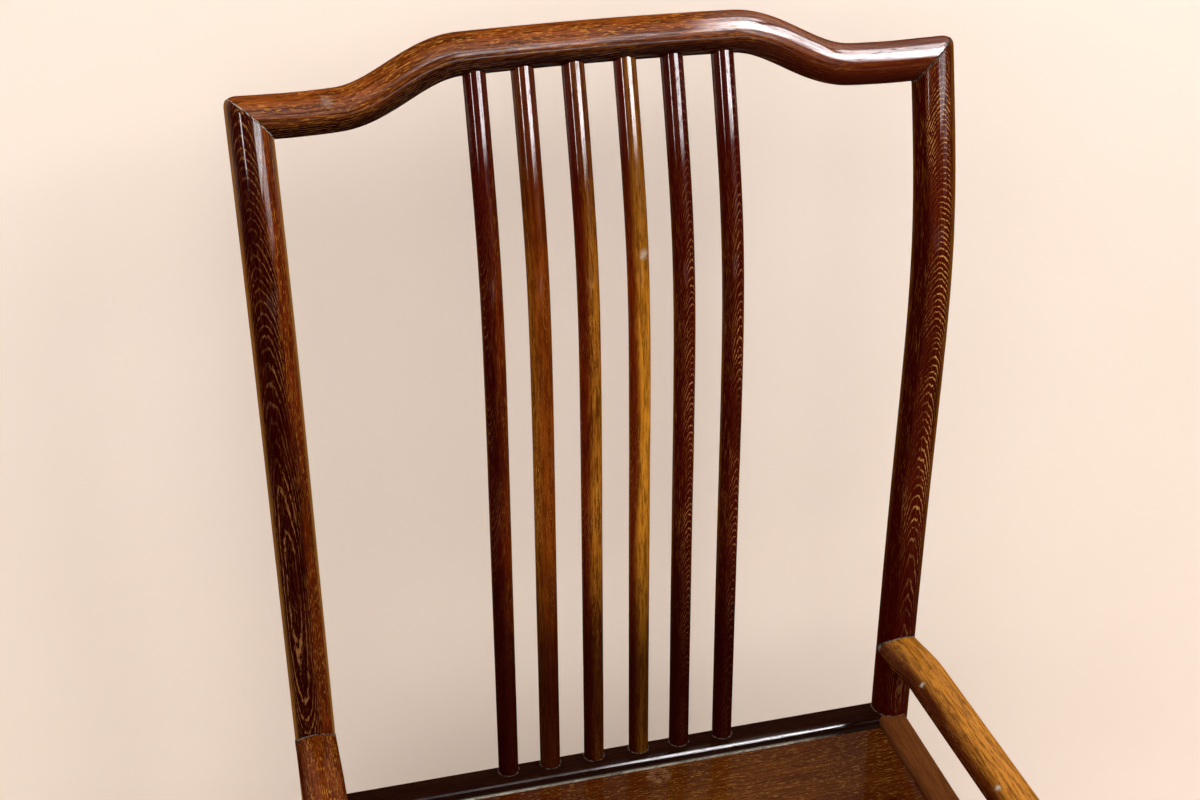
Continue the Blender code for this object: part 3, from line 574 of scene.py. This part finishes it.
def round_bar_tree():
    """Wraps a round bar about a centre line, hand scraped so that it is never quite even."""
    tree = bpy.data.node_groups.new("round bar", "GeometryNodeTree")
    shaping = Nodes(tree)
    kinds = (("Geometry", "Geometry"), ("Radius", "Float"), ("Sides", "Int"), ("Across", "Vector"),
             ("Upward", "Vector"), ("Unevenness", "Float"), ("Seed", "Float"), ("Wood", "Material"))
    for name, kind in kinds:
        tree.interface.new_socket(name, in_out="INPUT", socket_type="NodeSocket" + kind)
    tree.interface.new_socket("Geometry", in_out="OUTPUT", socket_type="NodeSocketGeometry")
    sizes = tree.nodes.new("NodeGroupInput").outputs[:len(kinds)]
    line, radius, sides, across, upward, unevenness, seed, wood = [Value(shaping, size) for size in sizes]

    def keep(line, kind, value):
        """Keeps a value on each point of the line for a later step."""
        node = tree.nodes.new("GeometryNodeCaptureAttribute")
        node.domain = "POINT"
        node.capture_items.new(kind, "kept")
        shaping.fill(node.inputs[0], line)
        shaping.fill(node.inputs[1], value)
        return [Value(shaping, socket) for socket in node.outputs[:2]]

    line = shaping.node("GeometryNodeMeshToCurve", {}, {"Mesh": line})
    line, length = keep(line, "FLOAT", shaping.node("GeometryNodeSplineParameter", {}, {}, "Length"))
    line, centre = keep(line, "VECTOR", shaping.node("GeometryNodeInputPosition", {}, {}))
    ring = shaping.node("GeometryNodeCurvePrimitiveCircle", {"mode": "RADIUS"},
                        {"Resolution": sides, "Radius": radius})
    wander = shaping.node("ShaderNodeTexNoise", {"noise_dimensions": "1D"},
                          {"W": length * BAR_WAVES + seed, "Scale": 1.0, "Detail": 1.0})
    bar = shaping.node("GeometryNodeCurveToMesh", {},
                       {"Curve": line, "Profile Curve": ring, "Scale": 1.0 - wander * unevenness,
                        "Fill Caps": True})
    offset = shaping.vector("SUBTRACT", shaping.node("GeometryNodeInputPosition", {}, {}), centre)
    aside = shaping.vector("DOT_PRODUCT", offset, across, 1)
    outward = shaping.vector("DOT_PRODUCT", offset, upward, 1)
    stick = shaping.node("ShaderNodeCombineXYZ", {}, {0: aside, 1: outward, 2: length})
    bar = shaping.node("GeometryNodeStoreNamedAttribute", {"data_type": "FLOAT_VECTOR", "domain": "POINT"},
                       {"Geometry": bar, "Name": "stick", "Value": stick})
    bar = shaping.node("GeometryNodeRealizeInstances", {}, {"Geometry": bar})
    bar = shaping.node("GeometryNodeSetMaterial", {}, {"Geometry": bar, "Material": wood})
    shaping.fill(tree.nodes.new("NodeGroupOutput").inputs[0], bar)
    return tree


round_bar = round_bar_tree()


def shape_bar(name, centres, diameter, across, upward, seed, wood):
    """Runs the tree on a centre line and keeps the result as a plain mesh."""
    line = bpy.data.meshes.new(name + "_line")
    line.from_pydata([tuple(centre) for centre in centres],
                     [(i, i + 1) for i in range(len(centres) - 1)], [])
    draft = add_object(name + "_draft", line)
    shaping = draft.modifiers.new("shaping", "NODES")
    shaping.node_group = round_bar
    sizes = {"Radius": diameter / 2, "Sides": BAR_SIDES, "Across": tuple(across), "Upward": tuple(upward),
             "Unevenness": BAR_UNEVENNESS, "Seed": seed, "Wood": wood}
    for item in round_bar.interface.items_tree:
        if item.in_out == "INPUT" and item.name in sizes:
            shaping[item.identifier] = sizes[item.name]
    graph = bpy.context.evaluated_depsgraph_get()
    mesh = bpy.data.meshes.new_from_object(draft.evaluated_get(graph))
    mesh.name = name
    bpy.data.objects.remove(draft)
    bpy.data.meshes.remove(line)
    finish_piece(name, mesh, None, wood, crease=50)


def spindle_x(index, pitch):
    hand = SPINDLE_HAND_FITTING * math.cos(index * SPINDLE_HAND_TURN)
    return (index - (SPINDLE_COUNT - 1) / 2) * pitch + hand


def spindle_centre(index, z):
    """Leaves the seat frame just behind the posts' line and meets the bowed crest rail."""
    top = crest_centre(spindle_x(index, SPINDLE_PITCH_TOP))
    share = (z - SEAT_HEIGHT) / (top[2] - SEAT_HEIGHT)
    extra = top[1] - post_centre(RIGHT, top[2])[1] - SPINDLE_FOOT_SETBACK
    y = post_centre(RIGHT, z)[1] + SPINDLE_FOOT_SETBACK + extra * max(share, 0.0) ** 2
    foot_x = spindle_x(index, SPINDLE_PITCH_FOOT)
    return np.array((foot_x + (top[0] - foot_x) * share, y, z))


for index, (slot, looks) in enumerate(SPINDLE_WOODS):
    number = index + 1
    scuffs = ()
    if index == 3:
        mark = spindle_centre(index, 0.945)
        scuffs = (((mark[0] + 0.003, mark[1] - 0.008, mark[2]), 0.007, 0.6),)
    wood = figured_wood("spindle_%d_wood" % number, SPINDLE_DIAMETER / 2, line=rgb(0.42, 0.18, 0.06),
                        seed=6.0 + 1.7 * index, scuffs=scuffs, sway=0.0008, edge_sheens=(0.4, 0.25),
                        fades=((0.09, 0.28, rgb(0.013, 0.0006, 0.0005), 0.88),
                               (0.58, 0.42, rgb(0.034, 0.0015, 0.0008), 0.7)), **looks)
    end_z = crest_centre(spindle_x(index, SPINDLE_PITCH_TOP))[2] - CREST_DIAMETER / 2 + SPINDLE_HOUSING
    heights = np.linspace(SEAT_HEIGHT - SPINDLE_TENON, end_z, SPINDLE_POINTS)
    shape_bar("spindle_%d_stick" % number, [spindle_centre(index, z) for z in heights], SPINDLE_DIAMETER,
              ACROSS, BACKWARD, 3.1 * index, wood)

# Front legs
# Round sticks that run up past the seat to carry the arms, and lean a little outward there. They are out
# of the photograph, so they follow the rear posts. Their tops are mitred under the arms.
LEG_FLARE = 0.0065
ARM_RISE = 0.080
ARM_DIP = 0.009
ARM_DIP_LENGTH = 0.070
LEG_RINGS = 60

arm_height = SEAT_HEIGHT + ARM_RISE


def leg_centre(side, z):
    flare = LEG_FLARE * (1 - ease((z - SEAT_HEIGHT) / ARM_RISE))
    return np.array((side * (half_spacing + flare), front_y, z))


def arm_centre(side, share):
    """Runs from the corner over the front leg, at 0, to the rear post's centre line, at 1."""
    y = front_y + share * LEG_DEPTH
    dip = ARM_DIP * ease((rear_y - y) / ARM_DIP_LENGTH)
    x = side * (half_spacing + LEG_FLARE * (1 - share))
    return np.array((x, y, arm_height - dip))


def arm_corner(side):
    """The knee over a front leg, the leg's direction into it and the arm's out of it."""
    knee = arm_centre(side, 0.0)
    return knee, UPWARD, unit(arm_centre(side, 0.5) - knee)


arm_seams = {side: seam(arm_corner(side), 0.0006, 0.6) for side in (LEFT, RIGHT)}

for side in (LEFT, RIGHT):
    wood = figured_wood(SIDE_NAMES[side] + "_leg_wood", LEG_DIAMETER / 2, rgb(0.040, 0.006, 0.0025),
                        rgb(0.110, 0.027, 0.006), rgb(0.26, 0.13, 0.08), -90 - 15 * side,
                        zone=(0.3, 0.8), band=0.0011, climb=-0.13, seed=20.0 + side, lines=0.7,
                        flecks=0.3, seams=(arm_seams[side],), gloss=(0.4, 0.4))
    heights = np.linspace(0.0, arm_height - corner_trim, LEG_RINGS)
    mitred_stick(SIDE_NAMES[side] + "_front_leg_stick", [leg_centre(side, z) for z in heights],
                 [LEG_DIAMETER / 2] * LEG_RINGS, arm_corner(side), wood)

# Arms
# Round golden sticks, the lightest wood of the chair. They run level to the rear, dip in their last hand's
# width, and are coped and pegged onto the posts. The varnish is rubbed, with small white chips.
ARM_RINGS = 80

# Each arm's darker face colour is turned down and to the left, a painted shade on its lower side; the flank
# colour is the golden wood.
ARM_WOODS = {LEFT: (rgb(0.050, 0.004, 0.0008), rgb(0.125, 0.022, 0.0018)),
             RIGHT: (rgb(0.075, 0.011, 0.001), rgb(0.420, 0.165, 0.018))}

for side in (LEFT, RIGHT):
    chips = ()
    if side == RIGHT:
        chips = (((0.252, 0.105, 0.550), 0.0045, 1.0), ((0.256, -0.035, 0.552), 0.0045, 1.0))
    arm_painted_shade, arm_flank = ARM_WOODS[side]
    wood = figured_wood(SIDE_NAMES[side] + "_arm_wood", ARM_DIAMETER / 2, arm_painted_shade, arm_flank,
                        rgb(0.52, 0.27, 0.09), -150, zone=(0.0, 0.65), band=0.0013, climb=0.05,
                        seed=30.0 + side, lines=0.5, fibres=0.68, flecks=0.9, clouds=0.15, scuffs=chips,
                        seams=(arm_seams[side],), gloss=(0.3, 0.1), coat_roughness=0.15,
                        collars=((side * half_spacing, rear_y, POST_DIAMETER / 2 + 0.0015, 0.35),))
    knee, leg_along, out = arm_corner(side)
    shares = np.linspace(1.0, corner_trim / LEG_DEPTH, ARM_RINGS)
    mitred_stick(SIDE_NAMES[side] + "_arm_stick", [arm_centre(side, share) for share in shares],
                 [ARM_DIAMETER / 2] * ARM_RINGS, (knee, -out, -leg_along), wood)

# Seat frame
# Four rails with rounded top edges, mitred at the corners round the posts, with a groove inside for the
# panel. Their tenons go into the posts and legs. Dust lies in the joints and round the spindles' feet.
RAIL_WIDTH = 0.027
RAIL_HEIGHT = 0.038
RAIL_OUTSET = 0.0093
RAIL_EDGE_RADIUS = 0.004
RAIL_LOWER_EDGE_RADIUS = 0.0015
PANEL_RECESS = 0.005
PANEL_THICKNESS = 0.012
PANEL_SHRINKAGE = 0.0065
TONGUE_DROP = 0.0006
TONGUE_THICKNESS = 0.006
TONGUE_LENGTH = 0.006
GROOVE_DEPTH = 0.0075
JOINT_GAP = 0.0003
EDGE_STEPS = 8
RAIL_ROWS = 40


def edge_arc(centre_out, centre_z, radius, start):
    """A quarter round of a section, in (outward, height) pairs, from a start angle in quarters."""
    turns = [math.pi / 2 * (start + i / EDGE_STEPS) for i in range(EDGE_STEPS + 1)]
    return [(centre_out + radius * math.cos(t), centre_z + radius * math.sin(t)) for t in turns]


def rounded_section(outer, inner, top, low, top_radius, low_radius, slot=()):
    """Outline of a bar in (outward, height) pairs, with a slot in its inner side."""
    points = [(outer, top), (inner, top)]
    if top_radius:
        points = edge_arc(outer - top_radius, top - top_radius, top_radius, 0)
        points += edge_arc(inner + top_radius, top - top_radius, top_radius, 1)
    points += slot
    points += edge_arc(inner + low_radius, low + low_radius, low_radius, 2)
    return points + edge_arc(outer - low_radius, low + low_radius, low_radius, 3)


def make_board(name, section, middle, outward, along, half_length, wood, rows, mitre=0.0,
               origin=(0.0, 0.0, 0.0), order=(0, 1, 2)):
    """A straight bar of one section, whose ends slant by the mitre times their outward place.

    Its grain is measured from the origin, and the order says which of its sides the growth follows.
    """
    rings = []
    grain = []
    for share in np.linspace(-1.0, 1.0, rows):
        places = [(out, z, share * (half_length + mitre * out)) for out, z in section]
        rings.append(np.array([middle + outward * out + UPWARD * z + along * run for out, z, run in places]))
        grain.append((np.array(places) - origin)[:, order])
    make_piece(name, rings, grain, wood, crease=30)


rail_inner = RAIL_OUTSET - RAIL_WIDTH
groove_top = SEAT_HEIGHT - PANEL_RECESS - TONGUE_DROP + JOINT_GAP
groove_low = groove_top - TONGUE_THICKNESS - 2 * JOINT_GAP
groove_floor = rail_inner + GROOVE_DEPTH
rail_section = rounded_section(RAIL_OUTSET, rail_inner, SEAT_HEIGHT, SEAT_HEIGHT - RAIL_HEIGHT,
                               RAIL_EDGE_RADIUS, RAIL_LOWER_EDGE_RADIUS,
                               [(rail_inner, groove_top), (groove_floor, groove_top),
                                (groove_floor, groove_low), (rail_inner, groove_low)])
middle_y = (rear_y + front_y) / 2
feet = [spindle_centre(index, SEAT_HEIGHT) for index in range(SPINDLE_COUNT)]
rail_looks = dict(radius=RAIL_WIDTH / 2, line=rgb(0.10, 0.030, 0.012), turn=-45, zone=(-0.88, -0.62),
                  lines=0.2, fibres=0.5, flecks=0.06, glints=0.06, roughness=0.34, gloss=(0.7, 0.02),
                  coat_roughness=0.05,
                  dull=((-0.30, -0.28, 0.08), (-0.06, 0.05, 0.92), (0.206, 0.213, -0.95)))
RAIL_DARK = (rgb(0.013, 0.0032, 0.0018), rgb(0.007, 0.0020, 0.0012))
RAIL_BROWN = (rgb(0.110, 0.036, 0.009), rgb(0.088, 0.026, 0.007))
rail_plans = (("rear_seat_rail", (0.0, rear_y, 0.0), BACKWARD, half_spacing, RAIL_DARK),
              ("front_seat_rail", (0.0, front_y, 0.0), -BACKWARD, half_spacing, RAIL_DARK),
              ("left_seat_rail", (-half_spacing, middle_y, 0.0), -ACROSS, LEG_DEPTH / 2, RAIL_BROWN),
              ("right_seat_rail", (half_spacing, middle_y, 0.0), ACROSS, LEG_DEPTH / 2, RAIL_BROWN))
for number, (name, middle, outward, half_length, tones) in enumerate(rail_plans):
    rings_of_dust = ()
    if name == "rear_seat_rail":
        rings_of_dust = tuple((foot[0], foot[1], SPINDLE_DIAMETER / 2 + 0.0014, 0.18) for foot in feet)
    if outward[1] >= 0:
        rings_of_dust += tuple((side * half_spacing, rear_y, POST_DIAMETER / 2 + 0.0014, 0.25)
                               for side in (LEFT, RIGHT))
    wood = figured_wood(name + "_wood", face=tones[0], flank=tones[1], seed=40.0 + number,
                        collars=rings_of_dust, **rail_looks)
    make_board(name + "_bar", rail_section, np.array(middle), outward, np.cross(UPWARD, outward),
               half_length - JOINT_GAP / 2, wood, RAIL_ROWS, mitre=1.0, origin=(0.0, SEAT_HEIGHT, 0.0))

# Seat panel
# A single board that floats in the frame's groove, its field 5 mm below the frame. It has drawn away from
# the rear rail and bares a strip of its tongue, never varnished, where grey dust has settled. Behind the
# dust, in the recess under the rail, and past its right end the strip is dark: grime with painted shade.
panel_half_x = half_spacing + RAIL_OUTSET - RAIL_WIDTH
panel_back = rear_y + RAIL_OUTSET - RAIL_WIDTH
panel_front = front_y - RAIL_OUTSET + RAIL_WIDTH
panel_top = SEAT_HEIGHT - PANEL_RECESS
field_edge = panel_back - PANEL_SHRINKAGE
PANEL_SCUFF = (0.0300, 0.1560, 0.455)


def panel_wood():
    finish = Finish("panel_wood")
    place = finish.place()
    rise, blend = finish.rise, finish.blend
    x, y, z = finish.parts(place)
    wave = finish.noise(place, (3.0, 14.0, 14.0), 3.0) - 0.5
    growth = y + z * 0.4 + wave * 0.03
    ring = finish.maths("SINE", growth * (2 * math.pi / 0.0042))
    fine = finish.noise(place, (48.0, 1500.0, 1500.0), 5.0, 3.0, 0.6)
    coarse = finish.noise(place, (9.0, 260.0, 260.0), 7.0)
    cloud = finish.noise(place, (3.0, 11.0, 11.0), 9.0)
    pores = rise(finish.noise(place, (210.0, 1500.0, 1500.0), 11.0, 1.0), 0.60, 0.72)
    colour = blend(rise(cloud, 0.30, 0.70), rgb(0.052, 0.010, 0.0010), rgb(0.094, 0.029, 0.0030))
    colour = blend(rise(ring, -0.2, 1.0) * 0.4, colour, rgb(0.050, 0.008, 0.0008))
    streak = rise(fine * 0.7 + coarse * 0.3, 0.58, 0.42) * 0.7
    colour = blend(streak, colour, rgb(0.022, 0.003, 0.0006))
    colour = blend(pores * 0.45, colour, rgb(0.32, 0.16, 0.04))
    bare = rise(y, field_edge - 0.0001, field_edge + 0.0001)
    crumb = finish.noise(place, (170.0, 600.0, 600.0), 13.0, 3.0, 0.65)
    drift = finish.noise(place, (30.0, 30.0, 30.0), 17.0)
    # Dust mask: where it is low, along the back of the bare strip under the rear rail's lip and past its
    # right end, the strip takes the dark colour, grime with painted shade in the recess.
    dust_over_shade = rise(y + crumb * 0.003, panel_back - 0.0002, panel_back - 0.0024)
    dust_over_shade = dust_over_shade * rise(x, 0.215, 0.150) * (rise(drift, 0.30, 0.52) * 0.7 + 0.3)
    dust = blend(rise(crumb, 0.30, 0.66), rgb(0.07, 0.055, 0.04), rgb(0.34, 0.32, 0.27))
    colour = blend(bare, colour, blend(dust_over_shade, GRIME_AND_SHADE, dust))
    gap = finish.vector("DISTANCE", place, PANEL_SCUFF, 1)
    gap = gap + finish.noise(place, (160.0, 160.0, 160.0)) * 0.010
    scuff = rise(gap, 0.0175, 0.0135) * rise(gap, 0.0060, 0.0115)
    scuff = scuff * rise(crumb, 0.38, 0.62)
    colour = blend(scuff * 0.35, colour, rgb(0.30, 0.15, 0.07))
    relief = fine * 0.5 - pores * 0.8 + crumb * bare
    return finish.surface({"Base Color": colour, "Roughness": 0.30 + fine * 0.1 + bare * 0.5,
                           "Coat Weight": (1.0 - bare) * (0.16 - pores * 0.12), "Coat Roughness": 0.09,
                           "Specular IOR Level": 0.0, "Normal": finish.bumps(relief, 0.3)})


tongue_top = panel_top - TONGUE_DROP
tongue_low = tongue_top - TONGUE_THICKNESS
levels = ((panel_top - PANEL_THICKNESS, -JOINT_GAP, -JOINT_GAP), (tongue_low, -JOINT_GAP, -JOINT_GAP),
          (tongue_low, TONGUE_LENGTH, TONGUE_LENGTH), (tongue_top, TONGUE_LENGTH, TONGUE_LENGTH),
          (tongue_top, -JOINT_GAP, -PANEL_SHRINKAGE), (panel_top, -JOINT_GAP, -PANEL_SHRINKAGE))
rings = [np.array(((-panel_half_x - grow, panel_front - grow, z),
                   (panel_half_x + grow, panel_front - grow, z),
                   (panel_half_x + grow, panel_back + rear_grow, z),
                   (-panel_half_x - grow, panel_back + rear_grow, z))) for z, grow, rear_grow in levels]
make_piece("seat_panel_board", rings, [ring[:, (1, 2, 0)] for ring in rings], panel_wood(),
           crease=30)

# Battens
# Two bars slid into dovetail slots under the panel, so that it stays flat, with their ends pegged into
# the front and rear rails. Nobody sees them, so they are left off the plane and little varnished.
hidden_looks = dict(line=rgb(0.20, 0.12, 0.08), turn=90, lines=0.3, fibres=0.5, flecks=0.2,
                    roughness=0.45, gloss=(0.25, 0.25))
batten_wood = figured_wood("batten_wood", 0.015, rgb(0.070, 0.026, 0.012), rgb(0.100, 0.038, 0.014),
                           seed=50.0, **hidden_looks)
BATTEN_SPACING = 0.240
BATTEN_WIDTH = 0.030
BATTEN_NECK = 0.024
BATTEN_HEIGHT = 0.020
DOVETAIL_DEPTH = 0.004
BATTEN_CHAMFER = 0.002
BATTEN_ROWS = 12

batten_neck_z = panel_top - PANEL_THICKNESS
batten_low = batten_neck_z + DOVETAIL_DEPTH - BATTEN_HEIGHT
half_neck = BATTEN_NECK / 2
half_section = [(BATTEN_WIDTH / 2, batten_neck_z + DOVETAIL_DEPTH), (half_neck, batten_neck_z),
                (half_neck, batten_low + BATTEN_CHAMFER), (half_neck - BATTEN_CHAMFER, batten_low)]
batten_section = half_section + [(-out, z) for out, z in half_section[::-1]]
for side in (LEFT, RIGHT):
    make_board(SIDE_NAMES[side] + "_batten_bar", batten_section,
               np.array((side * BATTEN_SPACING / 2, middle_y, 0.0)), ACROSS, BACKWARD,
               (panel_back - panel_front) / 2 - JOINT_GAP, batten_wood, BATTEN_ROWS,
               origin=(0.0, batten_neck_z, -middle_y))

# Aprons
# Thin plain boards under the seat frame, on edge, with their ends let into the legs and their lower edges
# rounded. They are out of the photograph and follow the frame's wood.
APRON_THICKNESS = 0.009
APRON_HEIGHT = 0.034
APRON_SETBACK = 0.002
APRON_HOUSING = 0.006
APRON_EDGE_RADIUS = 0.003
APRON_ROWS = 24

apron_wood = figured_wood("apron_wood", 0.017, rgb(0.045, 0.017, 0.010), rgb(0.075, 0.028, 0.013),
                          seed=55.0, **dict(hidden_looks, roughness=0.36, gloss=(0.5, 0.5)))
apron_top = SEAT_HEIGHT - RAIL_HEIGHT - JOINT_GAP
apron_section = rounded_section(APRON_THICKNESS / 2, -APRON_THICKNESS / 2, apron_top,
                                apron_top - APRON_HEIGHT, 0.0, APRON_EDGE_RADIUS)
for name, middle, outward, half_length, tones in rail_plans:
    make_board(name.replace("_seat_rail", "_apron_board"), apron_section,
               np.array(middle) - outward * APRON_SETBACK, outward, np.cross(UPWARD, outward),
               half_length - POST_DIAMETER / 2 + APRON_HOUSING, apron_wood, APRON_ROWS,
               origin=(0.0, apron_top, 0.0), order=(1, 0, 2))

# Stretchers
# Round bars low between the legs, two at the sides and one behind, coped and pegged. The sitter's shoes
# never reach them, so their varnish is whole.
STRETCHER_DIAMETER = 0.020
SIDE_STRETCHER_HEIGHT = 0.150
REAR_STRETCHER_HEIGHT = 0.200
STRETCHER_POINTS = 60

stretcher_wood = figured_wood("stretcher_wood", STRETCHER_DIAMETER / 2, rgb(0.036, 0.012, 0.007),
                              rgb(0.100, 0.034, 0.011), rgb(0.28, 0.17, 0.11), 60, seed=60.0, lines=0.55)
stretcher_plans = [("rear_stretcher", post_centre(LEFT, REAR_STRETCHER_HEIGHT),
                    post_centre(RIGHT, REAR_STRETCHER_HEIGHT), BACKWARD)]
stretcher_plans += [(SIDE_NAMES[side] + "_stretcher", leg_centre(side, SIDE_STRETCHER_HEIGHT),
                     post_centre(side, SIDE_STRETCHER_HEIGHT), ACROSS) for side in (LEFT, RIGHT)]
for number, (name, start, end, across) in enumerate(stretcher_plans):
    centres = [start + (end - start) * share for share in np.linspace(0.0, 1.0, STRETCHER_POINTS)]
    shape_bar(name + "_bar", centres, STRETCHER_DIAMETER, across, UPWARD, 31.0 + number, stretcher_wood)

# Footrest
# A flat bar between the front legs, with all its edges rounded, worn pale along the top where shoes rub.
FOOTREST_HEIGHT = 0.096
FOOTREST_WIDTH = 0.030
FOOTREST_THICKNESS = 0.018
FOOTREST_EDGE_RADIUS = 0.005
FOOTREST_ROWS = 40

footrest_wood = figured_wood("footrest_wood", 0.012, rgb(0.040, 0.014, 0.008), rgb(0.090, 0.032, 0.011),
                             rgb(0.26, 0.16, 0.11), 90, seed=65.0, lines=0.4, roughness=0.42,
                             gloss=(0.35, 0.35), scuffs=(((-0.07, front_y - 0.004, 0.105), 0.040, 0.25),
                                                         ((0.08, front_y - 0.006, 0.105), 0.045, 0.25)))
footrest_section = rounded_section(FOOTREST_WIDTH / 2, -FOOTREST_WIDTH / 2, FOOTREST_THICKNESS / 2,
                                   -FOOTREST_THICKNESS / 2, FOOTREST_EDGE_RADIUS, FOOTREST_EDGE_RADIUS)
make_board("footrest_bar", footrest_section, np.array((0.0, front_y, FOOTREST_HEIGHT)), BACKWARD, ACROSS,
           half_spacing, footrest_wood, FOOTREST_ROWS)

# Room
# A pale wall close behind the chair and a pale floor, both plain. Three soft lamps light the room from the
# front, the strongest high on the right. Window panes that only show in gloss draw the bright bands.
WALL_DISTANCE = 0.235
WALL_HEIGHT = 3.0
ROOM_HALF = 4.0
FLOOR_APRON = 0.50
WALL_COLOUR = rgb(0.815, 0.71, 0.63)
FLOOR_COLOUR = rgb(0.58, 0.52, 0.46)


def plain_finish(name, colour, roughness, one_sided=False):
    """A plain pale surface; a one-sided one can be looked through from behind."""
    finish = Finish(name)
    mottle = finish.noise(finish.place(), (5.0, 5.0, 5.0), detail=3.0)
    shade = rgb(colour[0] * 0.95, colour[1] * 0.94, colour[2] * 0.92)
    if one_sided:
        clear = finish.node("ShaderNodeBsdfTransparent", {}, {})
        behind = finish.node("ShaderNodeNewGeometry", {}, {}, "Backfacing")
        plain = Value(finish, finish.shader.outputs[0])
        mixed = finish.node("ShaderNodeMixShader", {}, {0: behind, 1: plain, 2: clear})
        finish.fill(finish.tree.nodes["Material Output"].inputs[0], mixed)
    return finish.surface({"Base Color": finish.blend(mottle, colour, shade), "Roughness": roughness,
                           "Specular IOR Level": 0.2})


def make_sheet(name, corners, material):
    mesh = bpy.data.meshes.new(name)
    mesh.from_pydata(corners, [], [(0, 1, 2, 3)])
    mesh.materials.append(material)
    sheet = add_object(name, mesh)


wall_y = rear_y + WALL_DISTANCE
floor_front = front_y - FLOOR_APRON
make_sheet("floor", [(-ROOM_HALF, floor_front, 0.0), (ROOM_HALF, floor_front, 0.0),
                     (ROOM_HALF, wall_y, 0.0), (-ROOM_HALF, wall_y, 0.0)],
           plain_finish("floor_plaster", FLOOR_COLOUR, 0.7))
make_sheet("backdrop", [(-ROOM_HALF, wall_y, 0.0), (ROOM_HALF, wall_y, 0.0),
                        (ROOM_HALF, wall_y, WALL_HEIGHT), (-ROOM_HALF, wall_y, WALL_HEIGHT)],
           plain_finish("wall_plaster", WALL_COLOUR, 0.8, one_sided=True))

LAMP_DISTANCE = 3.4
LAMP_AIM = 0.85
LAMP_COLOUR = (1.0, 0.96, 0.92)
PANE_COLOUR = (1.0, 0.97, 1.0)
LAMPS = (("key", -42, 38, 32, 26, 8.4),
         ("fill", -118, 28, 60, 40, 3.3),
         ("top", -90, 62, 60, 40, 1.8))
PANES = (("pane_foot", -56, 17, 38, 15, 27.0),
         ("pane_low", -48, 3, 26, 11, 13.0),
         ("pane_line", -78, -9, 60, 4, 16.0),
         ("pane_middle", -34, 43, 46, 18, 24.0),
         ("pane_side", -72, 48, 42, 40, 38.0),
         ("pane_high", -60, 78, 56, 22, 18.0),
         ("pane_left", -136, 13, 5, 10, 34.0))


def stand(name, data, across, up, behind, place):
    """Puts a lamp or a camera in its place, by its own three directions."""
    thing = add_object(name, data)
    thing.matrix_world = Matrix([[across[i], up[i], behind[i], place[i]] for i in range(3)]
                                + [[0.0, 0.0, 0.0, 1.0]])
    return thing


def add_lamp(name, azimuth, elevation, width, height, brightness, pane):
    """A flat lamp that looks at the chair's back, with all its angles in degrees.

    Azimuth is measured from +X. Width and height are the angles that it fills as the chair sees it. A pane
    only shows in gloss, and the other lamps only light.
    """
    turn, tilt = math.radians(azimuth), math.radians(elevation)
    away = np.array((math.cos(turn) * math.cos(tilt), math.sin(turn) * math.cos(tilt), math.sin(tilt)))
    data = bpy.data.lights.new(name, "AREA")
    data.shape = "RECTANGLE"
    data.size = 2 * LAMP_DISTANCE * math.tan(math.radians(width / 2))
    data.size_y = 2 * LAMP_DISTANCE * math.tan(math.radians(height / 2))
    data.energy = brightness * math.pi * data.size * data.size_y
    data.color = PANE_COLOUR if pane else LAMP_COLOUR
    sideways = unit(np.cross(UPWARD, away))
    centre = np.array((0.0, rear_y, LAMP_AIM)) + LAMP_DISTANCE * away
    lamp = stand(name, data, sideways, np.cross(away, sideways), away, centre)
    lamp.visible_camera = False
    lamp.visible_diffuse = not pane
    lamp.visible_glossy = pane


for plan in LAMPS:
    add_lamp(*plan, pane=False)
for plan in PANES:
    add_lamp(*plan, pane=True)

world = bpy.data.worlds.new("room_light")
world.use_nodes = True
world.node_tree.nodes["Background"].inputs["Color"].default_value = (1.0, 0.97, 0.93, 1.0)
world.node_tree.nodes["Background"].inputs["Strength"].default_value = 0.05
bpy.context.scene.world = world
bpy.context.scene.view_settings.view_transform = "Standard"

# Camera
# It stands a little left of the chair's middle at eye height and looks down at the comb.
CAMERA_PLACE = (-0.32162, -1.00308, 1.50528)
CAMERA_RIGHT = (0.967793, -0.251719, -0.003705)
CAMERA_UP = (0.124758, 0.466777, 0.875531)
CAMERA_BEHIND = (-0.218658, -0.847795, 0.483148)
CAMERA_LENS = 52.70
CAMERA_SENSOR = 36.0

view = bpy.data.cameras.new("view")
view.lens = CAMERA_LENS
view.sensor_width = CAMERA_SENSOR
view.sensor_fit = "HORIZONTAL"
view.clip_start = 0.05
bpy.context.scene.camera = stand("view", view, CAMERA_RIGHT, CAMERA_UP, CAMERA_BEHIND, CAMERA_PLACE)
